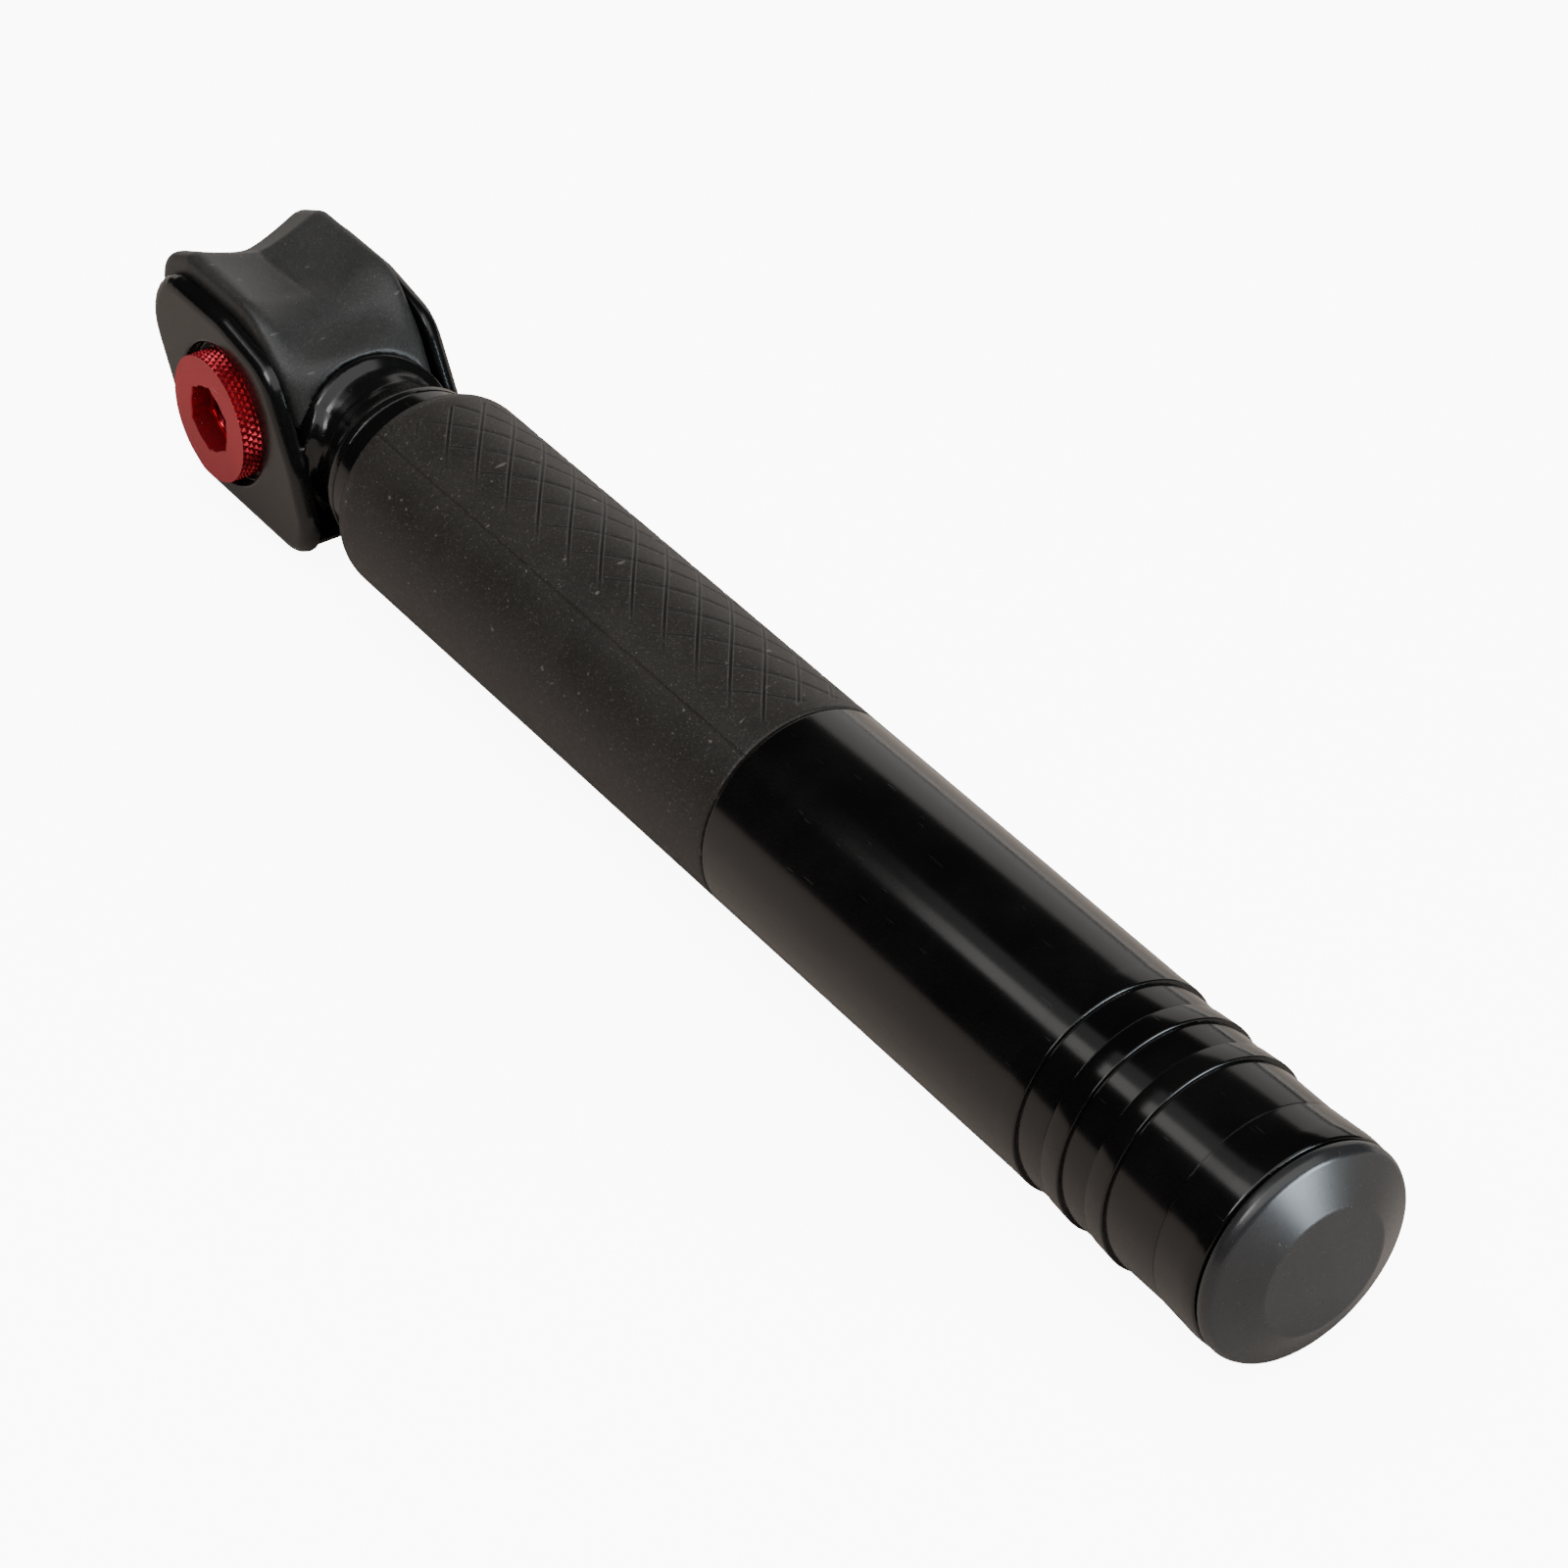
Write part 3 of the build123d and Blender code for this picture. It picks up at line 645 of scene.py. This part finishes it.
# %% [markdown]
# ## Finishes
#
# Nothing on a real pump is one flat colour. Anodised aluminium keeps faint turning marks and a
# slightly uneven sheen. Rubber has a fine moulded grain and holds specks of dust. Each finish is
# a base colour with slow colour variation, roughness variation, fine bump and sparse specks or
# scratches, all placed in object coordinates.

# %% Shader helpers
def paint_tree(name):
    """A new material with its tree, surface shader and object coordinates."""
    material = bpy.data.materials.new(name)
    material.use_nodes = True
    tree = material.node_tree
    shader = tree.nodes["Principled BSDF"]
    spot = tree.nodes.new("ShaderNodeTexCoord").outputs["Object"]
    return material, tree, shader, spot


def noise(tree, spot, scale, stretch=(1, 1, 1), detail=3.0, roughness=0.55):
    """Noise on stretched object coordinates, per metre."""
    spread = tree.nodes.new("ShaderNodeMapping")
    wire(tree, spot, spread.inputs["Vector"])
    spread.inputs["Scale"].default_value = stretch
    field = tree.nodes.new("ShaderNodeTexNoise")
    wire(tree, spread.outputs[0], field.inputs["Vector"])
    field.inputs["Scale"].default_value = scale
    field.inputs["Detail"].default_value = detail
    field.inputs["Roughness"].default_value = roughness
    return field.outputs["Fac"]


def mix_colour(tree, amount, a, b):
    """Blend of two colours by an amount."""
    node = tree.nodes.new("ShaderNodeMix")
    node.data_type = "RGBA"
    wire(tree, amount, node.inputs[0])
    wire(tree, a, node.inputs[6])
    wire(tree, b, node.inputs[7])
    return node.outputs[2]


def bump(tree, height, depth_mm, strength=1.0, before=None):
    """Bump from a height field of 0 to 1, this many millimetres deep."""
    node = tree.nodes.new("ShaderNodeBump")
    node.inputs["Strength"].default_value = strength
    node.inputs["Distance"].default_value = depth_mm * MM
    wire(tree, height, node.inputs["Height"])
    if before is not None:
        wire(tree, before, node.inputs["Normal"])
    return node.outputs[0]


# %% [markdown]
# Turned metal is anodised or bare. The rings that the tool leaves run round the part's own axis,
# so the noise behind them is squeezed along that axis and stretched across it. A few hair
# scratches and specks are a little lighter, and the scratches rougher too.

# %% Turned metal
def turned(name, colour, rough, metal=0.0, mark_mm=0.12, depth_mm=0.0012, shine=0.5, axis=0, wear=None):
    """Turned metal: fine rings round an axis, uneven sheen, a few hair scratches."""
    material, tree, shader, spot = paint_tree(name)
    rings = [0.02, 0.02, 0.02]
    rings[axis] = 1.0
    marks = noise(tree, spot, 1 / (mark_mm * MM), rings, 2.0)
    patches = noise(tree, spot, 90, detail=4.0)
    scratch = ramp(tree, noise(tree, spot, 3200, (0.10, 1, 1), 0.0), 0.80, 0.83)
    speck = ramp(tree, noise(tree, spot, 4600, detail=1.0), 0.77, 0.80)
    blast = noise(tree, spot, 9000, detail=1.0)
    lighter = [min(1.0, c * 1.6 + 0.003) for c in colour] + [1.0]
    tint = mix_colour(tree, ramp(tree, patches, 0.3, 0.75, 0.0, 0.35), list(colour) + [1.0], lighter)
    flaws = product(tree, sum_node(tree, "MAXIMUM", scratch, speck), 0.4)
    tint = mix_colour(tree, flaws, tint, wear or lighter)
    wire(tree, tint, shader.inputs["Base Color"])
    uneven = sum_node(tree, "MULTIPLY_ADD", patches, 0.10, rough - 0.05)
    rougher = sum_node(tree, "ADD", uneven, product(tree, scratch, 0.15))
    wire(tree, rougher, shader.inputs["Roughness"])
    shader.inputs["Metallic"].default_value = metal
    shader.inputs["Specular IOR Level"].default_value = shine
    relief = bump(tree, marks, depth_mm)
    relief = bump(tree, blast, 0.0016, 1.0, relief)
    wire(tree, bump(tree, scratch, 0.004, 0.5, relief), shader.inputs["Normal"])
    return material


# %% [markdown]
# Rubber takes the fine grain of its mould. The grain is a bump and also a slight change of
# colour, and the dust that rubber holds shows as sparse pale specks and short hairs.

# %% Moulded rubber and plastic
DUST = [0.20, 0.19, 0.18, 1.0]


def moulded(name, colour, rough, grain_mm=0.22, depth_mm=0.02, shine=0.35, dust=0.5):
    """Moulded rubber or plastic: fine grain, slow sheen changes, sparse dust."""
    material, tree, shader, spot = paint_tree(name)
    grain = noise(tree, spot, 1 / (grain_mm * MM), detail=2.0, roughness=0.6)
    patches = noise(tree, spot, 120, detail=4.0)
    speck = ramp(tree, noise(tree, spot, 4800, detail=1.0), 0.67, 0.72)
    hair = ramp(tree, noise(tree, spot, 2600, (0.5, 0.2, 1), 0.0), 0.80, 0.83)
    lighter = [c * 1.25 + 0.001 for c in colour] + [1.0]
    tint = mix_colour(tree, ramp(tree, patches, 0.3, 0.75), list(colour) + [1.0], lighter)
    grain_top = [c * 2.2 for c in colour] + [1.0]
    tint = mix_colour(tree, ramp(tree, grain, 0.35, 0.75, 0.0, 0.5), tint, grain_top)
    fluff = product(tree, sum_node(tree, "MAXIMUM", speck, hair), dust * 0.3)
    tint = mix_colour(tree, fluff, tint, DUST)
    wire(tree, tint, shader.inputs["Base Color"])
    wire(tree, sum_node(tree, "MULTIPLY_ADD", patches, 0.14, rough - 0.07), shader.inputs["Roughness"])
    shader.inputs["Specular IOR Level"].default_value = shine
    wire(tree, bump(tree, grain, depth_mm), shader.inputs["Normal"])
    return material, tree, shader, tint


# %% [markdown]
# The finishes are kept by the name of the record's material slot, so that each piece can look its
# own up. A colour is the part of red, green and blue light that comes back.

# %% The finishes
finishes = {
    "tube_black": turned("tube_black_anodised", (0.0016, 0.0015, 0.0015), 0.15),
    "head_black": turned("head_black_anodised", (0.002, 0.002, 0.002), 0.19, mark_mm=0.35,
                         depth_mm=0.0015),
    "cap_black": turned("cap_black_anodised", (0.013, 0.013, 0.0135), 0.25, depth_mm=0.0003),
    "red_anodised": turned("red_anodised", (0.37, 0.018, 0.030), 0.20, 0.8, axis=1, mark_mm=0.10,
                           depth_mm=0.0025, wear=[0.55, 0.30, 0.28, 1.0]),
    "bare_aluminium": turned("drawn_aluminium", (0.62, 0.62, 0.63), 0.28, 1.0, depth_mm=0.0025),
    "brass": turned("turned_brass", (0.62, 0.42, 0.16), 0.26, 1.0),
    "spring_steel": turned("spring_steel", (0.42, 0.41, 0.40), 0.25, 1.0),
    "polished_steel": turned("polished_steel", (0.66, 0.66, 0.67), 0.10, 1.0, depth_mm=0.0006),
    "saddle_rubber": moulded("saddle_rubber_moulded", (0.0122, 0.0122, 0.0119), 0.44,
                             grain_mm=0.30, depth_mm=0.026, shine=0.42)[0],
    "seal_rubber": moulded("seal_rubber_black", (0.02, 0.02, 0.021), 0.5, dust=0.2)[0],
    "nylon": moulded("nylon_white", (0.70, 0.68, 0.62), 0.45, dust=0.1)[0],
}
print(len(finishes), "finishes")

# %% [markdown]
# ## Grip sleeve
#
# The grip is a rubber sleeve moulded in two halves, so a fine parting line runs along it. The
# upper half carries two families of slanting grooves that cross as diamonds and fade out before
# the smooth lower panel. The grooves repeat, so a node tree cuts them. The same sums appear again
# in the grip's finish, which sharpens each groove's edge with a bump, paints shade into each
# groove's floor and paints a highlight beside one family.

# %% Diamond pattern, shared by the mesh and the finish
DIAMOND = {"period": 6.36, "start_a": -70.9, "slope_a": 1.33, "start_b": -74.5, "slope_b": -1.25}
PATTERN_X = (grip_x0 + 3.6, grip_x1 - 1.8)
PATTERN_TURN = (-130.0, -112.0, 6.0, 26.0)
END_FADE = 0.5


def groove_distances(tree, x, y, z):
    """Distance in millimetres to the nearest groove of each family, and where the pattern is."""
    turn = sum_node(tree, "ARCTAN2", product(tree, y, -1.0), z)
    along = sum_node(tree, "DIVIDE", x, MM)
    found = []
    for family in "ab":
        slope = DIAMOND["slope_" + family]
        shift = sum_node(tree, "MULTIPLY_ADD", turn, -slope * outer_r, along)
        phase = sum_node(tree, "DIVIDE", sum_node(tree, "SUBTRACT", shift, DIAMOND["start_" + family]),
                         DIAMOND["period"])
        across = DIAMOND["period"] / math.hypot(1, slope)
        found.append(product(tree, sum_node(tree, "PINGPONG", phase, 0.5), across))
    degrees = sum_node(tree, "DEGREES", turn)
    far, far_full, near_full, near = PATTERN_TURN
    here = product(tree, ramp(tree, degrees, far, far_full),
                   ramp(tree, degrees, near_full, near, 1.0, 0.0))
    ends = product(tree, ramp(tree, along, PATTERN_X[0], PATTERN_X[0] + END_FADE),
                   ramp(tree, along, PATTERN_X[1] - END_FADE, PATTERN_X[1], 1.0, 0.0))
    return found[0], found[1], product(tree, here, ends)


print(f"diamonds {DIAMOND['period']} mm long, from x {PATTERN_X[0]:.1f} to {PATTERN_X[1]:.1f}")

# %% [markdown]
# The grip's finish starts as the plain moulded rubber. The floor of each groove is painted darker,
# a painted shade, because little light reaches it, and beside one family of grooves the rubber is
# painted a little lighter, a painted highlight on the groove's lips. A shallow bump adds the corner
# that the mesh is too coarse to hold.

# %% Finish of the grip
grip_material, tree, shader, tint = moulded("grip_rubber_moulded", (0.0088, 0.0077, 0.0067), 0.48,
                                            grain_mm=0.34, depth_mm=0.020, shine=0.4, dust=0.8)
spot = tree.nodes.new("ShaderNodeTexCoord").outputs["Object"]
parts = tree.nodes.new("ShaderNodeSeparateXYZ")
wire(tree, spot, parts.inputs[0])
gap_a, gap_b, zone = groove_distances(tree, *parts.outputs[:3])
deep = sum_node(tree, "MAXIMUM", ramp(tree, gap_a, 0.09, 0.19, 1.0, 0.0),
                product(tree, ramp(tree, gap_b, 0.08, 0.17, 1.0, 0.0), 0.8))
# a band each side of the family a grooves, painted lighter: a painted highlight on the lips
edge = product(tree, ramp(tree, gap_a, 0.16, 0.23), ramp(tree, gap_a, 0.26, 0.38, 1.0, 0.0))
deep, edge = (product(tree, value, zone) for value in (deep, edge))
# painted shade darkens the groove floors, then the painted highlight lightens the band beside family a
tint = mix_colour(tree, deep, tint, [0.003, 0.003, 0.003, 1.0])
tint = mix_colour(tree, product(tree, edge, 0.3), tint, [0.075, 0.070, 0.066, 1.0])
wire(tree, tint, shader.inputs["Base Color"])
grain_bump = shader.inputs["Normal"].links[0].from_socket
groove_bump = bump(tree, sum_node(tree, "SUBTRACT", 1.0, deep), 0.06, 0.8, grain_bump)
wire(tree, groove_bump, shader.inputs["Normal"])
finishes["grip_rubber"] = grip_material
print("grip finish:", len(tree.nodes), "nodes")

# %% [markdown]
# The tree that cuts the grooves into the mesh has two sizes, how deep they are and how far from
# the middle of a groove its wall reaches. It only moves points on the outside of the sleeve.

# %% Groove tree for the sleeve
groove_tree, entry, out = new_tree("diamond_grooves",
                                   {"Depth": FLOAT, "Reach": FLOAT, "Material": MATERIAL})
x, y, z = place(groove_tree)
gap_a, gap_b, zone = groove_distances(groove_tree, x, y, z)
reach = entry.outputs["Reach"]
dip = sum_node(groove_tree, "MAXIMUM", ramp(groove_tree, gap_a, 0.0, reach, 1.0, 0.0),
               ramp(groove_tree, gap_b, 0.0, reach, 1.0, 0.0))
around = radius_of(groove_tree, y, z)
outside = sum_node(groove_tree, "GREATER_THAN", around, (outer_r - 0.03) * MM)
depth = product(groove_tree, dip, zone, outside, entry.outputs["Depth"])
push_and_close(groove_tree, entry, out, toward_axis(groove_tree, depth, around, {"Y": y, "Z": z}))

# %% [markdown]
# The sleeve is a stack of loops, with more points round the pattern for the tree to move. Two fine
# cuts half a turn apart are the parting lines of the mould.

# %% Columns of the sleeve
parting_turn = 35
parting_depth, parting_half_width = 0.09, 0.55
pattern_turn_step, plain_turn_step = 1.12, 3.0


def sleeve_turns():
    """Angles round the sleeve in degrees, closer together where there is pattern."""
    dense = np.arange(PATTERN_TURN[0] - 2, PATTERN_TURN[3] + 2, pattern_turn_step)
    parting = parting_turn + np.array([-1.6, -0.9, -0.55, -0.25, 0, 0.25, 0.55, 0.9, 1.6])
    coarse = np.arange(PATTERN_TURN[3] + 4, PATTERN_TURN[0] + 358 - 2, plain_turn_step)
    for seam_turn in (parting_turn, parting_turn + 180):
        coarse = coarse[np.abs(coarse - seam_turn) > 2.5]
    return np.radians(np.sort(np.concatenate([dense, coarse, parting, parting + 180])))


turns = sleeve_turns()
print(len(turns), "columns round the sleeve")

# %% Mould the sleeve
lead_x = grip_x0 + np.array([0, 0, 0.12, 0.4, 0.9, 1.5, 2.1, 2.7])
lead_r = np.append(body_r, outer_r - np.array([0.85, 0.70, 0.52, 0.28, 0.1, 0.02, 0]))
body_x = np.arange(grip_x0 + 3.0, grip_x1 - 0.5, 0.26)
sleeve_x = np.concatenate([lead_x, body_x, [grip_x1 - 0.3, grip_x1 - 0.1, grip_x1, grip_x1]])
sleeve_r = np.concatenate([lead_r, np.full(len(body_x), outer_r),
                           [outer_r, outer_r - 0.05, outer_r - 0.2, body_r]])
off_parting = np.degrees(turns) % 180 - parting_turn
parting_cut = parting_depth * np.exp(-((off_parting / parting_half_width) ** 2))
is_skin = np.where(sleeve_r > outer_r - 0.9, 1, 0)
radius = sleeve_r[:, None] - is_skin[:, None] * parting_cut[None, :]
points = np.column_stack([
    np.repeat(sleeve_x, len(turns)),
    (-radius * np.sin(turns)).ravel(),
    (radius * np.cos(turns)).ravel(),
])
grip = make_piece("grip_sleeve_moulded", points, loop_faces(len(sleeve_x), len(turns)), "pump_body",
                  "grip_rubber", 50)
grow(grip, groove_tree, {"Depth": 0.10 * MM, "Reach": 0.34, "Material": grip_material})
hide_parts("grip_sleeve")
report(grip)

# %% [markdown]
# ## Valve chuck ring
#
# The red ring is turned, knurled on its rim, and has a hexagon socket that leads into the valve
# thread. The thread is a real helix. Knurling is two families of helical cuts that leave small
# pyramids; a node tree makes them by taking the lower of two triangle waves.

# %% Knurl tree
knurl_tree, entry, out = new_tree("knurl", {
    "Centre X": FLOAT, "Rim Radius": FLOAT, "Teeth": INT, "Row": FLOAT, "Depth": FLOAT,
    "Material": MATERIAL,
})
x, y, z = place(knurl_tree)
dx = sum_node(knurl_tree, "SUBTRACT", x, entry.outputs["Centre X"])
around = radius_of(knurl_tree, dx, z)
turn = sum_node(knurl_tree, "DIVIDE", sum_node(knurl_tree, "ARCTAN2", dx, z), 2 * math.pi)
tooth = product(knurl_tree, turn, entry.outputs["Teeth"])
row = sum_node(knurl_tree, "DIVIDE", y, entry.outputs["Row"])
slants = [sum_node(knurl_tree, way, tooth, row) for way in ("ADD", "SUBTRACT")]
waves = [product(knurl_tree, sum_node(knurl_tree, "PINGPONG", slant, 0.5), 2.0) for slant in slants]
cut = sum_node(knurl_tree, "SUBTRACT", 1.0, sum_node(knurl_tree, "MINIMUM", *waves))
on_rim = sum_node(knurl_tree, "GREATER_THAN", around, entry.outputs["Rim Radius"])
depth = product(knurl_tree, cut, on_rim, entry.outputs["Depth"])
push_and_close(knurl_tree, entry, out, toward_axis(knurl_tree, depth, around, {"X": dx, "Z": z}))

# %% [markdown]
# The ring is one stack of loops that starts inside the socket, passes over the face, the rim, the
# back and the stem with its two grooves, and comes back through the thread to the socket's floor.
# Every loop has the same number of points, eight to a tooth, so the hexagon, the round stem and
# the helix join without a seam.

# %% Measures of the ring
teeth, points_per_tooth, knurl_row, knurl_depth = 54, 8, 1.3, 0.46
pitch, thread_depth, stem_wall, socket_depth = 0.8, 0.42, 1.95, 2.9
hex_play, hex_relief, hex_turn, mouth_chamfer = 0.3, 0.2, 4, 0.12
thread_r = stem_r - stem_wall
hex_flats = 2 * thread_r + hex_play
hex_floor_y = ring_face_y + socket_depth
ring_back_y = recess_floor_y - 0.3
oring_low, oring_high = box_mm("chuck_oring")
clip_low, clip_high = box_mm("chuck_circlip")
ring_turns = np.linspace(0, 2 * math.pi, teeth * points_per_tooth, endpoint=False)
side_turn = (ring_turns - math.radians(hex_turn)) % (math.pi / 3) - math.pi / 6
hexagon = np.maximum(hex_flats / 2 / np.cos(side_turn), hex_flats / 2 + hex_relief)
print(f"socket {hex_flats:.1f} mm across flats, thread radius {thread_r:.2f}, pitch {pitch}")


# %% Loops of the face, the rim and the stem
def round_loop(y, r):
    """A loop of even radius at y."""
    return y, np.full(len(ring_turns), r)


sections = [(ring_face_y + mouth_chamfer, hexagon)]
sections += [(ring_face_y, hexagon + rise) for rise in (mouth_chamfer, 0.9, 1.9)]
sections += [round_loop(ring_face_y, ring_r - drop) for drop in (1.2, 0.5, 0.12)]
rim_y = np.linspace(ring_face_y + 0.08, ring_back_y - 0.15, 24)
sections += [round_loop(y_here, ring_r) for y_here in rim_y]
sections += [round_loop(ring_back_y, ring_r - 0.2), round_loop(ring_back_y, stem_r)]
for low, high, floor_r in ((oring_low[1] - 0.2, oring_high[1] + 0.2, stem_r - 1.25),
                           (clip_low[1] - 0.1, clip_high[1] + 0.1, stem_r - 0.8)):
    sections += [round_loop(low, stem_r), round_loop(low, floor_r), round_loop(high, floor_r),
                 round_loop(high, stem_r)]
thread_start_y = stem_end_y - 0.3
sections += [round_loop(thread_start_y, stem_r), round_loop(stem_end_y, stem_r - 0.3),
             round_loop(stem_end_y, thread_r + 0.3), round_loop(thread_start_y, thread_r)]
print(len(sections), "loops before the thread")

# %% Loops of the thread and the socket's floor
thread_y = np.linspace(hex_floor_y + 0.02, stem_end_y - 0.5, 60)
for y_here in thread_y[::-1]:
    wave = np.abs(((y_here / pitch + ring_turns / (2 * math.pi)) % 1.0) - 0.5) * 2
    fade = min(1.0, (thread_start_y - y_here) / 0.8, (y_here - hex_floor_y) / 0.1)
    sections.append((y_here, thread_r + thread_depth * fade * np.clip(1.25 * wave - 0.12, 0, 1)))
sections += [round_loop(hex_floor_y, thread_r + 0.02), (hex_floor_y, hexagon - 0.01),
             (hex_floor_y - 0.1, hexagon)]
print(len(sections), "loops in all")

# %% Make the ring and knurl it
points = np.concatenate([
    np.column_stack([chuck_x + r * np.sin(ring_turns), np.full(len(ring_turns), y_here),
                     r * np.cos(ring_turns)])
    for y_here, r in sections
])
ring = make_piece("chuck_ring_knurled", points, loop_faces(len(sections), len(ring_turns)), "chuck",
                  "red_anodised", 25)
grow(ring, knurl_tree, {
    "Centre X": chuck_x * MM, "Rim Radius": (ring_r - 0.01) * MM, "Teeth": teeth,
    "Row": knurl_row * MM, "Depth": knurl_depth * MM, "Material": finishes["red_anodised"],
})
ring.data.set_sharp_from_angle(angle=math.radians(22))
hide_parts("chuck_ring")
report(ring)

# %% [markdown]
# ## Give every piece its finish
#
# The pieces made above and the nodes carried over from the engineering model take their finish
# from the record's material slots, so one change of a finish repaints the whole family.

# %% Paint
for name, node in frame["nodes"].items():
    node.data.materials.clear()
    node.data.materials.append(finishes[slot_of[name]])
for piece in (handle_tube, end_cap, neck_collar, head, saddle):
    piece.data.materials.clear()
    piece.data.materials.append(finishes[piece["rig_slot"]])
print(len(frame["nodes"]), "nodes painted, and the skin over them")

# %% [markdown]
# ## Studio
#
# Black anodised metal is seen by what it mirrors. A white wall far behind gives the pale upper
# edge of the tubes, a narrow strip light gives the fine highlight along them, and the pale floor
# shows in their lower side. The floor has to look white and yet mirror as a darker, warmer paper,
# so its colour and glow depend on the kind of ray that meets it. In mirrors it is darkest under the
# pump and on its near side, towards -Y, a painted shade of the pump. Further back it turns pale and
# glows more. That is a trick of the stage only: the pump's own finishes never ask where a ray
# comes from.

# %% Floor
WHITE = [1.0, 1.0, 1.0, 1.0]
CAMERA_GLOW = 9.0       # enough for the floor and the world to come out white


def paper_sheet(name, corners, colour, mirrored):
    """A plain staged sheet, in metres, bright to the camera and darker in mirrors, with painted shade
    under and before the pump.
    """
    mesh = bpy.data.meshes.new(name)
    mesh.from_pydata(corners, [], [(0, 1, 2, 3)])
    sheet = bpy.data.objects.new(name, mesh)
    bpy.context.scene.collection.objects.link(sheet)
    material, tree, shader, spot = paint_tree(name + "_paper")
    ray = tree.nodes.new("ShaderNodeLightPath").outputs
    parts = tree.nodes.new("ShaderNodeSeparateXYZ")
    wire(tree, spot, parts.inputs[0])
    # in mirrors: painted shade, darkest under the pump and towards -Y, turning to pale paper towards +Y
    far = mix_colour(tree, ramp(tree, parts.outputs["Y"], 0.05, 0.6), list(mirrored) + [1.0],
                     [0.86, 0.82, 0.78, 1.0])
    seen = mix_colour(tree, ray["Is Glossy Ray"], list(colour) + [1.0], far)
    wire(tree, seen, shader.inputs["Base Color"])
    shader.inputs["Emission Color"].default_value = WHITE
    # in mirrors the floor also glows more towards +Y, further back
    beyond = product(tree, ramp(tree, parts.outputs["Y"], 0.3, 1.2, 0.0, 0.5), ray["Is Glossy Ray"])
    glow = sum_node(tree, "MULTIPLY_ADD", ray["Is Camera Ray"], CAMERA_GLOW, beyond)
    wire(tree, glow, shader.inputs["Emission Strength"])
    shader.inputs["Roughness"].default_value = 0.6
    shader.inputs["Specular IOR Level"].default_value = 0.2
    mesh.materials.append(material)


floor_z, reach = cad_box[0][2], 6
paper_sheet("floor", [(-reach, -reach, floor_z), (reach, -reach, floor_z), (reach, reach, floor_z),
                      (-reach, reach, floor_z)], (0.86, 0.855, 0.85), (0.31, 0.27, 0.24))
print(f"floor at z {floor_z / MM:.1f} mm")

# %% [markdown]
# One large soft light overhead fills the rubber and isn't mirrored. Six panels of even brightness
# are there to be mirrored: the wall, the strip and a softer one beside it, a cool window beyond the
# end cap, a canopy above that end and a box in front, on the chuck's side.

# %% Lights
def soft_light(name, place, aim, size, power, colour=(1, 1, 1), mirrored=True):
    """A rectangular light at a place, turned to face a point, with its long side along X."""
    data = bpy.data.lights.new(name, "AREA")
    data.shape = "RECTANGLE"
    data.size, data.size_y = size
    data.energy = power
    data.color = colour
    lamp = bpy.data.objects.new(name, data)
    away = (Vector(place) - Vector(aim)).normalized()
    side = Vector((1, 0, 0)) - away * away.x
    if side.length < 0.1:
        side = Vector((0, 1, 0)) - away * away.y
    side.normalize()
    up = away.cross(side)
    turned_round = Matrix((side, up, away)).transposed().to_4x4()
    lamp.matrix_world = Matrix.Translation(place) @ turned_round
    lamp.visible_glossy = mirrored
    lamp.visible_camera = False
    bpy.context.scene.collection.objects.link(lamp)


soft_light("key_overhead", (-0.1, 0.0, 1.6), (0, 0, 0), (2.4, 2.0), 50, (1.0, 0.99, 0.975),
           mirrored=False)
panels = [      # name, place, aim, width, height, brightness, colour
    ("wall_glow", (-1.35, 1.0, 0.40), (0, 0, 0.1), 2.6, 0.84, 0.78, (1.0, 0.965, 0.93)),
    ("strip", (-0.165, -0.36, 0.61), (-0.165, 0, 0), 0.80, 0.155, 2.1, (1.0, 0.98, 0.96)),
    ("window", (1.15, 0.44, 0.20), (0.08, 0, 0), 0.55, 0.34, 27.0, (0.80, 0.92, 1.0)),
    ("canopy", (0.60, 0.0, 1.05), (0.05, 0, 0), 1.1, 1.7, 1.5, (1, 1, 1)),
    ("strip_soft", (-0.165, -0.20, 0.66), (-0.165, 0, 0), 0.80, 0.16, 0.5, (1, 1, 1)),
    ("front_box", (0.22, -0.74, 0.80), (-0.05, 0, 0), 0.34, 0.34, 9.0, (1, 1, 1)),
]
for name, centre, aim, width, height, brightness, colour in panels:
    soft_light(name, centre, aim, (width, height), brightness * math.pi * width * height, colour)
print(1 + len(panels), "lights")

# %% World
world = bpy.data.worlds.new("studio")
bpy.context.scene.world = world
world.use_nodes = True
sky = world.node_tree
look = sky.nodes.new("ShaderNodeLightPath").outputs["Is Camera Ray"]
room = [0.012, 0.012, 0.0125, 1.0]
backdrop = mix_colour(sky, look, room, [CAMERA_GLOW, CAMERA_GLOW, CAMERA_GLOW, 1.0])
wire(sky, backdrop, sky.nodes["Background"].inputs["Color"])
print("room light", room[:3])

# %% [markdown]
# ## Camera
#
# The camera stands beyond the end cap, on the chuck's side, and looks down along the pump. The
# cap is nearest and the head furthest away. A long lens keeps the tube from tapering much.

# %% Camera
azimuth, elevation, roll = math.radians(53.137), math.radians(37.714), math.radians(1.899)
distance, aim = 0.565606, Vector((-0.00010, -0.00174, 0.00471))
back = Vector((math.sin(azimuth) * math.cos(elevation), -math.cos(azimuth) * math.cos(elevation),
               math.sin(elevation)))
level = Vector((math.cos(azimuth), math.sin(azimuth), 0))
upright = back.cross(level)
right = math.cos(roll) * level + math.sin(roll) * upright
top = -math.sin(roll) * level + math.cos(roll) * upright
camera_data = bpy.data.cameras.new("camera")
camera_data.lens = 118.27
camera_data.sensor_width = 36
camera_data.shift_x = -0.0024
camera_data.clip_start = 0.01
camera = bpy.data.objects.new("camera", camera_data)
facing = Matrix((right, top, back)).transposed().to_4x4()
camera.matrix_world = Matrix.Translation(aim + back * distance) @ facing
bpy.context.scene.collection.objects.link(camera)
bpy.context.scene.camera = camera
print(f"camera {distance / MM:.0f} mm from the pump, {math.degrees(elevation):.1f} degrees up")
